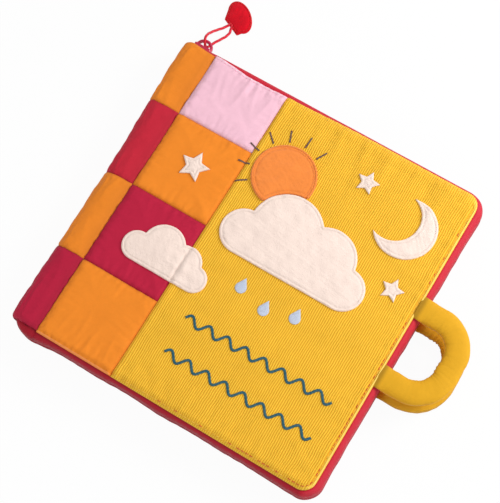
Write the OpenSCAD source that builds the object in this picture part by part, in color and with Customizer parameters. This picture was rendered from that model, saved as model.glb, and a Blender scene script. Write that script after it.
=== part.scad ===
// Soft cloth book: two padded covers, a patchwork spine, sewn pages, a zip round three sides and two carrying loops.
// The origin is the centre of the back cover's underside. X runs to the fore edge, Y to the head, Z up through the book.

/* [Covers] */
// Width of a cover, from the spine seam to the fore edge
cover_w = 222.5; // [205:0.5:240]
// Height of a cover, from tail to head
cover_h = 240; // [225:1:255]
// Radius of the covers' corners at the fore edge
cover_r = 10; // [7:0.5:14]
// Thickness of the closed book
book_t = 32; // [30:0.5:36]
// Thickness of the outer cloth of a cover
outer_t = 3; // [2.6:0.1:3.4]
// Thickness of the wadding inside a cover
wadding_t = 1.6; // [1.2:0.1:2.2]
// Thickness of the cotton lining of a cover
lining_t = 0.9; // [0.6:0.1:1.3]
// How far the lining's edge stays inside the cover's edge
lining_inset = 1.5; // [1:0.1:2.5]

/* [Patchwork] */
// Width of the cotton patches on the front cover
patch_w = 62.4; // [50:0.1:75]
// Height of the patch at the tail
row_tail_h = 61.7; // [55:0.1:66]
// Height of the second patch from the tail
row_second_h = 65; // [58:0.1:68]
// Height of the third patch from the tail
row_third_h = 63.3; // [58:0.1:68]
// How far a patch dips at its seams
seam_dip = 1; // [0.5:0.1:1.4]
// Depth of the gathers along the head and tail edges
gather_depth = 0.7; // [0.2:0.1:1]
// Number of gathers across one patch
gather_count = 5; // [3:1:7]

/* [Corduroy] */
// Distance from one cord to the next
wale_pitch = 1.6; // [1.2:0.1:2.4]
// Height of a cord above the ground of the cloth
wale_h = 0.5; // [0.3:0.05:0.8]

/* [Spine] */
// Depth of the rounded spine behind the spine seam
spine_d = 25; // [23.5:0.5:28]
// Thickness of the spine's quilted cloth
spine_t = 2.4; // [1.8:0.1:2.4]
// How far the spine stands below the covers' outer faces
spine_drop = 0.5; // [0.4:0.1:1]
// How far the spine's cloth draws in at each seam between patches
spine_draw = 0.8; // [0.3:0.1:1.2]
// Gap at the spine seam, where the front cover hinges
hinge_gap = 0.3; // [0.2:0.05:0.6]

/* [Pages] */
// Number of padded cloth pages
page_count = 5; // [3:1:7]
// Depth of the grooves between the pages' edges
page_groove = 2.5; // [1:0.5:4]
// Height of the groove between two pages
page_gap = 0.6; // [0.4:0.1:1]
// How far the pages stay inside the covers' edges
page_inset = 4.5; // [4.5:0.5:8]
// Radius of the pages' corners
page_r = 12; // [10:1:16]
// Clearance between the pages and the front cover
page_clear = 0.3; // [0.2:0.1:0.8]

/* [Zip] */
// Thickness of the woven tape
tape_t = 0.8; // [0.6:0.1:1]
// Width of tape that is sewn into the cover's edge
tape_seam_w = 4.2; // [3:0.1:4.4]
// Gap between the two tapes along the teeth
zip_gap = 1.4; // [1.3:0.1:1.8]
// How far the zip stands out at the head
bulge_head = 5.2; // [4.8:0.1:7]
// How far the zip stands out at the fore edge
bulge_fore = 4; // [3.6:0.1:6]
// How far the zip stands out at the tail
bulge_tail = 3; // [2.8:0.1:5]
// Height of the upright part of each tape, above the middle of the book
tape_upright = 6.2; // [6.1:0.1:7]
// Distance from one coil loop to the next
coil_pitch = 2.4; // [2:0.1:3.2]
// Height of the coil along the tape's edge
coil_h = 1.7; // [1.2:0.1:2.2]
// Width of the coil, into the book
coil_w = 2.4; // [2:0.1:2.8]
// How deep the gaps between the coil's loops are
coil_notch = 1.1; // [0.6:0.1:1.4]
// Radius of the zip's curve where it tucks under the spine at the tail
tail_r = 13.5; // [12:0.5:15]
// How far past the spine seam that curve starts
tail_run = 5; // [3:0.5:7]
// Angle of that curve
tail_sweep = 62; // [50:1:64]
// How far past the spine seam the zip ends at the head
head_run = 22.6; // [20:0.2:23]

/* [Slider] */
// Length of the slider along the zip
slider_l = 14; // [12:0.5:15]
// Half of the slider's width at its mouth
slider_mouth = 5.4; // [5:0.1:5.9]
// Half of the slider's width at its tail end
slider_heel = 4.8; // [4.6:0.1:5.2]
// Thickness of the slider's outer plate
slider_plate = 2; // [1.4:0.1:2.4]
// Thickness of the slider's inner plate
slider_inner = 1.2; // [1:0.1:1.6]
// Width of the slider's side flanges
slider_flange = 1.3; // [0.9:0.1:1.4]
// Running clearance between the slider and the zip
slider_clear = 0.35; // [0.3:0.05:0.5]
// Distance from the slider's middle to the spine seam when the zip is closed
slider_park = 15.8; // [15:0.1:16]
// Middle radius of the slider's bridge
bridge_r = 5.8; // [5:0.1:6.5]
// Thickness of the bridge across its bend
bridge_t = 2.2; // [1.8:0.1:2.6]
// Height of the bridge's bar
bridge_h = 3.2; // [2.4:0.1:3.6]

/* [Pull] */
// Diameter of the pull cord
cord_d = 2.2; // [1.8:0.1:2.4]
// Thickness of one layer of the pull tab
tab_layer_t = 1.8; // [1.4:0.1:2.2]
// Longer diameter of the oval pull tab
tab_l = 28.2; // [24:0.2:32]
// Shorter diameter of the oval pull tab
tab_w = 17.4; // [15:0.2:20]
// Width of the tab's straight end, where the cord goes in
tab_end_w = 16.6; // [12:0.2:18]

/* [Carrying loops] */
// How far a loop reaches past the fore edge
loop_reach = 48; // [42:0.5:55]
// Height of a loop from its lower edge to its upper edge
loop_h = 73.5; // [66:0.5:80]
// Distance of the loops' middle above the middle of the cover
loop_y = 3.5; // [-10:0.5:15]
// How much lower the back loop is sewn than the front one
loop_drop = 1.2; // [0:0.1:2]
// Width of the padded band
band_w = 17.6; // [15:0.2:19]
// Thickness of the padded band
band_t = 9.4; // [8:0.2:9.6]
// Thickness of the band where it is sewn into the seam
band_end_t = 2.4; // [2:0.1:2.4]
// Length over which the band fills out from its sewn end
band_fill = 10; // [9:0.5:14]
// Radius of the band's middle line at its bends
loop_bend_r = 22; // [18:0.5:24]
// Depth of the gathers on the inner side of the band
band_gather = 0.35; // [0:0.05:0.6]

/* [Sewn-on pieces] */
// Thickness of the plush pieces
plush_t = 1.6; // [1:0.1:2.2]
// Thickness of the satin and thread pieces
thread_t = 0.7; // [0.5:0.1:1]
// Radius of the sun disc
sun_r = 23; // [16:0.5:27]
// Width of the thread edge round the sun disc
sun_edge = 1.6; // [1:0.1:2.4]
// Number of thread rays beside the sun
ray_count = 7; // [4:1:9]
// Length of a ray
ray_l = 9; // [6:0.5:11]
// Radius of the crescent
moon_r = 23; // [16:0.5:26]
// Radius of the large star
star_r = 12; // [8:0.5:13]
// Radius of the small stars
small_star_r = 9; // [6:0.5:10]
// Length of a stitched wave row
wave_l = 118; // [90:1:130]
// Length of one wave
wave_pitch = 14.75; // [12:0.25:20]
// Height of a wave
wave_h = 6.5; // [4:0.5:9]
// Width of the stitched line
wave_w = 1.8; // [1.2:0.1:2.4]

/* [Hidden] */

// Places that follow from the sizes
mid_z = book_t / 2;
cover_t = outer_t + wadding_t + lining_t;
seam_x = -cover_w / 2;
fore_x = cover_w / 2;
head_y = cover_h / 2;
patch_x = seam_x + patch_w;
row_y = [
    -head_y,
    -head_y + row_tail_h,
    -head_y + row_tail_h + row_second_h,
    -head_y + row_tail_h + row_second_h + row_third_h,
    head_y
];
outer_z = book_t - outer_t;
corner_steps = 8;
curve_steps = 6;

// Colours of the cloths
pink = [0.96, 0.75, 0.83];
orange = [0.95, 0.56, 0.18];
crimson = [0.72, 0.09, 0.24];
red = [0.79, 0.15, 0.24];
yellow = [0.96, 0.77, 0.18];
gold = [0.92, 0.69, 0.14];
zip_red = [0.80, 0.13, 0.22];
peach = [0.96, 0.87, 0.82];
plush_orange = [0.94, 0.53, 0.24];
teal = [0.0, 0.41, 0.48];
brown = [0.43, 0.31, 0.29];
pale_blue = [0.80, 0.84, 0.92];
cream = [0.96, 0.93, 0.85];

// Curves and lofts
function lerp(a, b, t) = a + (b - a) * t;
function smooth(t) = let (c = max(0, min(1, t))) c * c * (3 - 2 * c);
function unit(v) = v / norm(v);
function arc(c, r, a0, a1, steps) =
    [for (i = [0 : steps]) let (a = lerp(a0, a1, i / steps)) c + r * [cos(a), sin(a)]];
// Each end is closed by a strip of quads across the ring, which suits a round ring and a curved band alike
function end_faces(first, n) =
    [for (i = [0 : n / 2 - 2]) [first + i, first + i + 1, first + n - 2 - i, first + n - 1 - i]];
function loft_faces(rings, n) = concat(
    end_faces(0, n),
    [for (k = [0 : rings - 2], i = [0 : n - 1])
        let (a = k * n + i, b = k * n + (i + 1) % n) each [[a, b + n, b], [a, a + n, b + n]]],
    [for (f = end_faces((rings - 1) * n, n)) [f[3], f[2], f[1], f[0]]]
);
module loft(rings) {
    polyhedron(points = [for (r = rings) each r], faces = loft_faces(len(rings), len(rings[0])));
}

// Cover outlines: square at the spine, round at the fore edge
module cover_outline(x0, inset) {
    r = max(cover_r - inset, 1);
    x1 = fore_x - inset;
    y1 = head_y - inset;
    polygon(concat(
        [[x0, -y1]],
        arc([x1 - r, -y1 + r], r, -90, 0, corner_steps),
        arc([x1 - r, y1 - r], r, 0, 90, corner_steps),
        [[x0, y1]]
    ));
}

// A puffed cotton patch, dipped at its seams and gathered where an edge is sewn to the zip
tile_u = 20;
tile_v = 10;
gather_reach = 0.22;
function tile_puff(u, v) = (1 - pow(abs(2 * u - 1), 6)) * (1 - pow(abs(2 * v - 1), 6));
function gather(u, v) = gather_depth * (0.5 - 0.5 * cos(360 * gather_count * u)) * pow(max(0, 1 - v / gather_reach), 2);
function tile_z(u, v, tail, head) =
    outer_t - seam_dip * (1 - tile_puff(u, v)) - tail * gather(u, v) - head * gather(u, 1 - v);
module puffed_tile(w, h, tail, head) {
    top = [for (j = [0 : tile_v], i = [0 : tile_u])
        let (u = i / tile_u, v = j / tile_v) [u * w, v * h, tile_z(u, v, tail, head)]];
    row = tile_u + 1;
    rim = concat(
        [for (i = [0 : tile_u]) i],
        [for (j = [1 : tile_v]) j * row + tile_u],
        [for (i = [tile_u - 1 : -1 : 0]) tile_v * row + i],
        [for (j = [tile_v - 1 : -1 : 1]) j * row]
    );
    n = len(rim);
    base = [for (k = rim) [top[k].x, top[k].y, 0]];
    m = len(top);
    centre = m + n;
    polyhedron(
        points = concat(top, base, [[w / 2, h / 2, 0]]),
        faces = concat(
            [for (j = [0 : tile_v - 1], i = [0 : tile_u - 1])
                let (p = j * row + i) each [[p, p + row, p + row + 1], [p, p + row + 1, p + 1]]],
            [for (k = [0 : n - 1])
                let (q = (k + 1) % n) each [[rim[k], rim[q], m + q], [rim[k], m + q, m + k]]],
            [for (k = [0 : n - 1]) [m + k, m + (k + 1) % n, centre]]
        )
    );
}
// Patches are counted from the head
module front_patch(i) {
    r = 4 - i;
    x0 = seam_x + hinge_gap / 2;
    translate([x0, row_y[r], outer_z])
        puffed_tile(patch_x - x0, row_y[r + 1] - row_y[r], r == 0 ? 1 : 0, r == 3 ? 1 : 0);
}

// Corduroy front panel: flat-topped cords that run from tail to head
panel_w = fore_x - patch_x;
wale_count = floor(panel_w / wale_pitch);
wale_step = panel_w / wale_count;
function wale_points() = concat(
    [[patch_x, outer_z]],
    [for (i = [0 : wale_count - 1]) let (x = patch_x + i * wale_step) each [
        [x, book_t - wale_h],
        [x + wale_step * 0.22, book_t],
        [x + wale_step * 0.78, book_t]
    ]],
    [[fore_x, book_t - wale_h], [fore_x, outer_z]]
);
module front_panel() {
    color(yellow) intersection() {
        translate([0, head_y, 0]) rotate([90, 0, 0]) linear_extrude(cover_h) polygon(wale_points());
        translate([0, 0, outer_z - 1]) linear_extrude(outer_t + 2) cover_outline(patch_x - 1, 0);
    }
}

// Inner layers of a cover, from z0 up
wadding_inset = tape_seam_w + 1.3;
module wadding(z0) {
    color(cream) translate([0, 0, z0]) linear_extrude(wadding_t)
        cover_outline(seam_x + hinge_gap, wadding_inset);
}
module lining(z0) {
    color(cream) translate([0, 0, z0]) linear_extrude(lining_t)
        cover_outline(seam_x + hinge_gap, lining_inset);
}
module back_panel() {
    color(yellow) linear_extrude(outer_t) cover_outline(seam_x, 0);
}

// Spine: each patch wraps from the front seam round to the back seam, and draws in at its ends
spine_steps = 12;
spine_rings = 6;
spine_roundness = 2 / 3;
spine_end = 0.5;
function spine_point(a, depth, rise) = [
    seam_x - hinge_gap / 2 - depth * pow(abs(cos(a)), spine_roundness),
    mid_z + rise * sign(sin(a)) * pow(abs(sin(a)), spine_roundness)
];
function spine_ring(y, draw) = let (
    d = spine_d - hinge_gap / 2 - draw,
    h = mid_z - spine_drop - draw * 0.4,
    di = spine_d - hinge_gap / 2 - spine_t - spine_draw,
    hi = mid_z - spine_drop - spine_t
) concat(
    [for (i = [0 : spine_steps]) let (p = spine_point(90 - 180 * i / spine_steps, d, h)) [p.x, y, p.y]],
    [for (i = [spine_steps : -1 : 0]) let (p = spine_point(90 - 180 * i / spine_steps, di, hi)) [p.x, y, p.y]]
);
module spine_patch(i) {
    r = 4 - i;
    y0 = row_y[r] + (r == 0 ? spine_end : 0);
    y1 = row_y[r + 1] - (r == 3 ? spine_end : 0);
    loft([for (k = [spine_rings : -1 : 0]) let (t = k / spine_rings)
        spine_ring(lerp(y0, y1, t), spine_draw * pow(abs(2 * t - 1), 4))]);
}

// Pages: padded leaves with rounded edges that follow the spine's curve where they are bound
page_z0 = cover_t;
page_stack = book_t - 2 * cover_t - page_clear;
page_step = page_stack / page_count;
page_rest = 0.8;
spine_inner_d = spine_d - hinge_gap / 2 - spine_t - spine_draw - page_rest;
spine_inner_h = mid_z - spine_drop - spine_t;
function bound_x(z) =
    seam_x - spine_inner_d * pow(1 - pow(min(abs(z - mid_z) / spine_inner_h, 0.95), 3), 1 / 3);
function page_outline(x0, inset) = let (
    y1 = head_y - page_inset - inset,
    x1 = fore_x - page_inset - inset
) concat(
    arc([x0 + page_r, -y1 + page_r], page_r, 180, 270, corner_steps),
    arc([x1 - page_r, -y1 + page_r], page_r, 270, 360, corner_steps),
    arc([x1 - page_r, y1 - page_r], page_r, 0, 90, corner_steps),
    arc([x0 + page_r, y1 - page_r], page_r, 90, 180, corner_steps)
);
function page_bound(i) = max(bound_x(page_z0 + i * page_step), bound_x(page_z0 + (i + 1) * page_step));
module page_block() {
    color(cream) {
        for (i = [0 : page_count - 1])
            translate([0, 0, page_z0 + i * page_step])
                linear_extrude(page_step - (i == page_count - 1 ? 0 : page_gap))
                    polygon(page_outline(page_bound(i), 0));
        translate([0, 0, page_z0 + page_step / 2])
            linear_extrude(page_stack - page_step)
                polygon(page_outline(page_bound(0) + page_groove, page_groove));
    }
}

// Zip: stations along the covers' edge, each a place, the angle of its outward normal and how full the tape is
function bulge(phi) =
    phi > 0 ? lerp(bulge_fore, bulge_head, phi / 90) : lerp(bulge_fore, bulge_tail, min(-phi, 90) / 90);
function corner_stations(y_sign) = [for (i = [0 : corner_steps])
    let (a = y_sign > 0 ? 90 - 90 * i / corner_steps : -90 * i / corner_steps)
    [fore_x - cover_r + cover_r * cos(a), y_sign * (head_y - cover_r) + cover_r * sin(a), a, 1]];
function cover_stations(x0) =
    concat([[x0, head_y, 90, 1]], corner_stations(1), corner_stations(-1), [[x0, -head_y, -90, 1]]);
function head_stations(x0) = [for (i = [0 : 4])
    let (t = i / 4) [lerp(x0, seam_x - head_run, t), head_y, 90, 1 - t]];
function tail_stations(x0) = concat(
    [[x0, -head_y, -90, 1]],
    [for (i = [0 : corner_steps]) let (t = i / corner_steps, a = -90 - tail_sweep * t)
        [seam_x - tail_run + tail_r * cos(a), -head_y + tail_r + tail_r * sin(a), a, 1 - t]]
);
function reversed(list) = [for (i = [len(list) - 1 : -1 : 0]) list[i]];
seam_gap_x = hinge_gap / 2;
front_stations = cover_stations(seam_x + seam_gap_x);
back_stations = concat(
    reversed(head_stations(seam_x - seam_gap_x)),
    cover_stations(seam_x + seam_gap_x),
    tail_stations(seam_x - seam_gap_x)
);
head_only = head_stations(seam_x - seam_gap_x);
tail_only = tail_stations(seam_x - seam_gap_x);

// The tape's middle line: sewn flat under the cover's cloth, over the edge, then upright to the teeth
tape_seam_z = mid_z - outer_t - tape_t / 2;
tuck_low = 0.35;
function tape_line(b, full) = let (top = lerp(tape_upright, tape_seam_z, lerp(tuck_low, 1, full))) [
    [-tape_seam_w * max(full, 0.05), top],
    [0, top],
    [0.35 * b, lerp(tape_upright, top, 0.82)],
    [0.8 * b, lerp(tape_upright, top, 0.4)],
    [b, tape_upright],
    [b, zip_gap / 2]
];
function beside(line, t) = [for (i = [0 : len(line) - 1])
    let (d = unit(line[min(i + 1, len(line) - 1)] - line[max(i - 1, 0)])) line[i] + t * [d.y, -d.x]];
function placed(s, p, side) = [s.x + p.x * cos(s[2]), s.y + p.x * sin(s[2]), mid_z + side * p.y];
function tape_ring(s, side) = let (line = tape_line(bulge(s[2]), s[3]))
    [for (p = concat(beside(line, -tape_t / 2), reversed(beside(line, tape_t / 2)))) placed(s, p, side)];
module tape(stations, side) {
    rings = [for (s = stations) tape_ring(s, side)];
    color(zip_red) loft(side > 0 ? rings : reversed(rings));
}

// The coil: a bar of loops along the inside of each tape's edge
coil_seat = 0.1;
function along(stations, inset) = [for (s = stations)
    let (d = bulge(s[2]) - inset) [s.x + d * cos(s[2]), s.y + d * sin(s[2])]];
function run_loops(a, b) = max(1, round(norm(b - a) / coil_pitch));
function loops_between(a, b, out_a, out_b) = let (n = run_loops(a, b))
    [for (i = [0 : n - 1]) each [
        lerp(a, b, (i + 0.1) / n),
        lerp(out_a, out_b, (i + 0.35) / n),
        lerp(out_a, out_b, (i + 0.65) / n),
        lerp(a, b, (i + 0.9) / n)
    ]];
module coil(stations, side) {
    seat = along(stations, tape_t / 2 + coil_seat);
    tips = along(stations, tape_t / 2 + coil_seat + coil_w);
    roots = along(stations, tape_t / 2 + coil_seat + coil_w - coil_notch);
    loops = [for (k = [0 : len(stations) - 2])
        each loops_between(roots[k], roots[k + 1], tips[k], tips[k + 1])];
    z = side > 0 ? mid_z + zip_gap / 2 : mid_z - zip_gap / 2 - coil_h;
    color(zip_red) translate([0, 0, z]) linear_extrude(coil_h)
        polygon(concat(seat, reversed(concat([roots[0]], loops, [roots[len(roots) - 1]]))));
}

// The stop that holds both tapes at the head end
stop_l = 1.4;
stop_h = 3;
module zip_stop() {
    y0 = head_y + bulge_head - tape_t / 2 - coil_w;
    color(crimson) translate([seam_x - head_run - stop_l, y0, mid_z - stop_h])
        cube([stop_l, coil_w + tape_t, 2 * stop_h]);
}

// Slider: outer plate, inner plate with side flanges, a thin post between the tapes, and a bridge for the cord
slider_x = seam_x - slider_park;
zip_y = head_y + bulge_head;
plate_y = zip_y + tape_t / 2 + slider_clear;
inner_y = zip_y - tape_t / 2 - coil_seat - coil_w - slider_clear;
post_l = 2.6;
post_t = zip_gap - 2 * slider_clear;
post_inset = 0.9;
slider_corner = 1.6;
function slider_outline() = concat(
    arc([-slider_l / 2 + slider_corner, -slider_mouth + slider_corner], slider_corner, 180, 270, curve_steps),
    arc([slider_l / 2 - slider_corner, -slider_heel + slider_corner], slider_corner, 270, 360, curve_steps),
    arc([slider_l / 2 - slider_corner, slider_heel - slider_corner], slider_corner, 0, 90, curve_steps),
    arc([-slider_l / 2 + slider_corner, slider_mouth - slider_corner], slider_corner, 90, 180, curve_steps)
);
module slider_flange_outline(side) {
    polygon([
        [-slider_l / 2 + slider_corner, side * slider_mouth],
        [slider_l / 2 - slider_corner, side * slider_heel],
        [slider_l / 2 - slider_corner, side * (slider_heel - slider_flange)],
        [-slider_l / 2 + slider_corner, side * (slider_mouth - slider_flange)]
    ]);
}
// Turns a plan in the zip's plane outwards, so that its height grows to the head
module on_zip(y) {
    translate([slider_x, y, mid_z]) rotate([-90, 0, 0]) children();
}
module bridge() {
    c = bridge_t * 0.3;
    translate([slider_x, plate_y + slider_plate, mid_z]) rotate_extrude(angle = 180)
        translate([bridge_r, 0]) polygon([
            [-bridge_t / 2, -bridge_h / 2 + c], [-bridge_t / 2 + c, -bridge_h / 2],
            [bridge_t / 2 - c, -bridge_h / 2], [bridge_t / 2, -bridge_h / 2 + c],
            [bridge_t / 2, bridge_h / 2 - c], [bridge_t / 2 - c, bridge_h / 2],
            [-bridge_t / 2 + c, bridge_h / 2], [-bridge_t / 2, bridge_h / 2 - c]
        ]);
}
module zip_slider() {
    color(crimson) union() {
        on_zip(plate_y) linear_extrude(slider_plate) polygon(slider_outline());
        on_zip(inner_y - slider_inner) linear_extrude(slider_inner) polygon(slider_outline());
        for (side = [-1, 1])
            on_zip(inner_y - slider_inner / 2)
                linear_extrude(slider_inner / 2 + coil_w + coil_seat) slider_flange_outline(side);
        translate([slider_x - slider_l / 2 + post_inset, inner_y - slider_inner / 2, mid_z - post_t / 2])
            cube([post_l, plate_y - inner_y + slider_inner / 2 + slider_plate / 2, post_t]);
        bridge();
    }
}

// Pull cord: leaves the tab, goes over the bridge, down through it and back under it to the tab.
// Its points are offsets along X and Y from the bridge's foot, and heights above the surface.
cord_route = [
    [3.4, 33, 1.8], [1.8, 30.2, 1.8], [0.4, 27.2, 2.5], [-1.2, 23.6, 4.6], [-2.6, 19.2, 8.4], [-3.2, 14.6, 13],
    [-3, 10.4, 17.6], [-2.2, 7, 20.3], [-1.2, 4.2, 19.6], [-0.3, 2.6, 16.6], [0.4, 2.9, 13.2],
    [1.1, 5.1, 10.6], [2.1, 8.7, 9.6], [3.6, 13, 8.2], [5.2, 17.6, 6], [6.2, 22, 3.8], [6.2, 25.8, 2.3],
    [5.2, 29.4, 1.8], [4.6, 32.6, 1.8]
];
cord_sides = 8;
bridge_foot = [slider_x, plate_y + slider_plate, 0];
function cord_ring(p, t) = let (
    n = unit([1, 0, 0] - t.x * t),
    m = cross(t, n)
) [for (k = [0 : cord_sides - 1]) let (a = 360 * k / cord_sides)
    p + bridge_foot + cord_d / 2 * (cos(a) * n + sin(a) * m)];
module pull_cord() {
    last = len(cord_route) - 1;
    color(zip_red) loft(reversed([for (i = [0 : last])
        cord_ring(cord_route[i], unit(cord_route[min(i + 1, last)] - cord_route[max(i - 1, 0)]))]));
}

// Pull tab: two layers of velour cut as an oval that leans to one side of its straight end, where the cord enters
tab_turn = -25;
tab_place = [4.4, 30];
tab_lean = -16;
tab_middle = [-tab_l * 0.1, tab_w * 0.6];
tab_steps = 18;
function tab_point(a) = let (u = tab_l / 2 * cos(a), v = tab_w / 2 * sin(a))
    tab_middle + [u * cos(tab_lean) - v * sin(tab_lean), u * sin(tab_lean) + v * cos(tab_lean)];
function tab_outline() = concat(
    [[-tab_end_w / 2, 0], [tab_end_w / 2, 0]],
    [for (i = [0 : tab_steps]) tab_point(lerp(-20, 230, i / tab_steps))]
);
module tab_layer(z0, tone) {
    color(tone) translate([bridge_foot.x + tab_place.x, bridge_foot.y + tab_place.y, z0])
        rotate(tab_turn) linear_extrude(tab_layer_t) polygon(tab_outline());
}

// Carrying loops: a padded band from the fore edge round and back, thin where it is sewn in
band_sides = 16;
loop_leg = loop_reach - band_w / 2 - loop_bend_r;
loop_half = loop_h / 2 - band_w / 2;
loop_flat = loop_half - loop_bend_r;
leg_rings = 8;
bend_rings = 9;
flat_rings = 2;
function loop_line() = concat(
    [for (i = [0 : leg_rings - 1]) [loop_leg * i / leg_rings, loop_half, 90]],
    [for (i = [0 : bend_rings - 1]) let (a = 90 - 90 * i / bend_rings)
        [loop_leg + loop_bend_r * cos(a), loop_flat + loop_bend_r * sin(a), a]],
    [for (i = [0 : flat_rings - 1]) [loop_leg + loop_bend_r, lerp(loop_flat, -loop_flat, i / flat_rings), 0]],
    [for (i = [0 : bend_rings - 1]) let (a = -90 * i / bend_rings)
        [loop_leg + loop_bend_r * cos(a), -loop_flat + loop_bend_r * sin(a), a]],
    [for (i = [leg_rings : -1 : 0]) [loop_leg * i / leg_rings, -loop_half, -90]]
);
// Distance of a ring from the sewn end, along the leg
function sewn_share(p) = abs(p[2]) == 90 ? smooth(p.x / band_fill) : 1;
band_floor = 0.1;
band_mid = mid_z - band_t / 2 - band_floor;
band_end_mid = mid_z - outer_t + band_end_t / 2 + 0.05;
roundness = 0.8;
function band_ring(p, k, side) = let (
    s = sewn_share(p),
    hz = lerp(band_end_t, band_t, s) / 2,
    z = mid_z + side * lerp(band_end_mid, band_mid, s),
    g = (k % 2 == 0 ? 0 : band_gather) * s
) [for (i = [0 : band_sides - 1]) let (
    a = 360 * i / band_sides,
    c = cos(a),
    w = (band_w / 2 - (c < -0.3 ? g : 0)) * sign(c) * pow(abs(c), roundness)
) [
    fore_x + p.x + w * cos(p[2]),
    loop_y - (side < 0 ? loop_drop : 0) + p.y + w * sin(p[2]),
    z + hz * sign(sin(a)) * pow(abs(sin(a)), roundness)
]];
module carrying_loop(side) {
    line = loop_line();
    color(gold) loft(reversed([for (k = [0 : len(line) - 1]) band_ring(line[k], k, side)]));
}

// Sewn-on pieces lie on the front cover's face. Places are measured from the spine seam and the tail.
module on_cover(at) {
    translate([seam_x + at.x, -head_y + at.y, book_t]) children();
}
// A cloud is round lobes on a flat foot. Its outline can be let out to cut a gap round it.
module cloud_shape(lobes, foot, let_out) {
    union() {
        for (l = lobes) translate([l.x, l.y]) circle(r = l[2] + let_out);
        translate([foot.x, foot.y - let_out]) square([foot[2], foot[3]]);
    }
}
large_lobes = [[-40, -4, 17], [-14, 12, 27], [20, 8, 23], [42, -5, 16]];
large_foot = [-40, -21, 82, 20];
large_at = [128, 140];
small_lobes = [[-22, -3, 11], [-5, 6, 16], [14, 3, 13], [26, -4, 10]];
small_foot = [-22, -14, 48, 12];
small_at = [50, 92];
sun_at = [92, 186];
moon_at = [186, 196];
star_at = [32, 160];
upper_star_at = [146, 212];
lower_star_at = [200, 152];
drop_at = [[108, 100], [130, 94], [152, 100]];
wave_at = [[86, 62], [86, 34]];
module cloud_large() {
    color(peach) on_cover(large_at) linear_extrude(plush_t) cloud_shape(large_lobes, large_foot, 0);
}
module cloud_small() {
    color(peach) on_cover(small_at) linear_extrude(plush_t) cloud_shape(small_lobes, small_foot, 0);
}
// The sun stands behind the large cloud, so it is cut a seam's width outside the cloud's edge
sun_seam = 0.4;
module sun_disc() {
    color(plush_orange) difference() {
        on_cover(sun_at) union() {
            cylinder(r = sun_r, h = plush_t);
            rotate_extrude() translate([sun_r - sun_edge, 0]) square([sun_edge, plush_t + thread_t]);
        }
        translate([0, 0, -plush_t]) on_cover(large_at) linear_extrude(4 * plush_t)
            cloud_shape(large_lobes, large_foot, sun_seam);
    }
}
ray_from = 60;
ray_to = 215;
ray_gap = 3.5;
module sun_rays() {
    color(brown) for (i = [0 : ray_count - 1])
        on_cover(sun_at) rotate(lerp(ray_from, ray_to, i / (ray_count - 1)))
            translate([sun_r + ray_gap, -0.6, 0]) cube([ray_l, 1.2, thread_t]);
}
module moon() {
    color(peach) on_cover(moon_at) linear_extrude(plush_t) difference() {
        circle(r = moon_r);
        translate([-moon_r * 0.48, moon_r * 0.2]) circle(r = moon_r * 0.82);
    }
}
star_waist = 0.5;
module star_shape(r) {
    polygon([for (i = [0 : 9]) (i % 2 == 0 ? r : r * star_waist) * [sin(36 * i), cos(36 * i)]]);
}
module star(at, r) {
    color(peach) on_cover(at) linear_extrude(plush_t) star_shape(r);
}
drop_w = 4.2;
drop_l = 8;
module raindrop(at) {
    color(pale_blue) on_cover(at) linear_extrude(thread_t)
        polygon(concat(arc([0, 0], drop_w, -200, 20, 2 * curve_steps), [[0, drop_l]]));
}
wave_points = 10;
function wave_y(x) = wave_h / 2 * sin(360 * x / wave_pitch);
function wave_edge(side) = let (n = round(wave_l / wave_pitch * wave_points))
    [for (i = [0 : n]) let (x = wave_l * i / n) [x, wave_y(x) + side * wave_w / 2]];
module wave_row(at) {
    color(teal) on_cover(at) linear_extrude(thread_t)
        polygon(concat(wave_edge(-1), reversed(wave_edge(1))));
}

color(pink) front_patch(1);  // front_patch_1
color(orange) front_patch(2);  // front_patch_2
color(crimson) front_patch(3);  // front_patch_3
color(orange) front_patch(4);  // front_patch_4
front_panel();
wadding(outer_z - wadding_t);  // front_wadding
lining(book_t - cover_t);  // front_lining
tape(front_stations, 1);  // zip_tape_front
coil(front_stations, 1);  // zip_coil_front
carrying_loop(1);  // loop_front
cloud_large();
cloud_small();
sun_disc();
sun_rays();
moon();
star(star_at, star_r);  // star_large
star(upper_star_at, small_star_r);  // star_small_1
star(lower_star_at, small_star_r);  // star_small_2
raindrop(drop_at[0]);  // raindrop_1
raindrop(drop_at[1]);  // raindrop_2
raindrop(drop_at[2]);  // raindrop_3
wave_row(wave_at[0]);  // wave_row_upper
wave_row(wave_at[1]);  // wave_row_lower
color(orange) spine_patch(1);  // spine_patch_1
color(red) spine_patch(2);  // spine_patch_2
color(orange) spine_patch(3);  // spine_patch_3
color(crimson) spine_patch(4);  // spine_patch_4
back_panel();
wadding(outer_t);  // back_wadding
lining(cover_t - lining_t);  // back_lining
page_block();
tape(back_stations, -1);  // zip_tape_back
coil(back_stations, -1);  // zip_coil_back
tape(reversed(head_only), 1);  // zip_tape_head
coil(reversed(head_only), 1);  // zip_coil_head
tape(tail_only, 1);  // zip_tape_tail
coil(tail_only, 1);  // zip_coil_tail
zip_stop();
carrying_loop(-1);  // loop_back
zip_slider();
pull_cord();
tab_layer(tab_layer_t, red);  // pull_tab_upper
tab_layer(0, zip_red);  // pull_tab_lower
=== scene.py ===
"""Dresses the soft cloth book: cloth, stitching, zip, cord, loops and sewn-on pieces, with a studio stage."""
import math

import bpy
import numpy as np
from mathutils import Matrix, Vector
from mathutils.geometry import delaunay_2d_cdt


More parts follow.
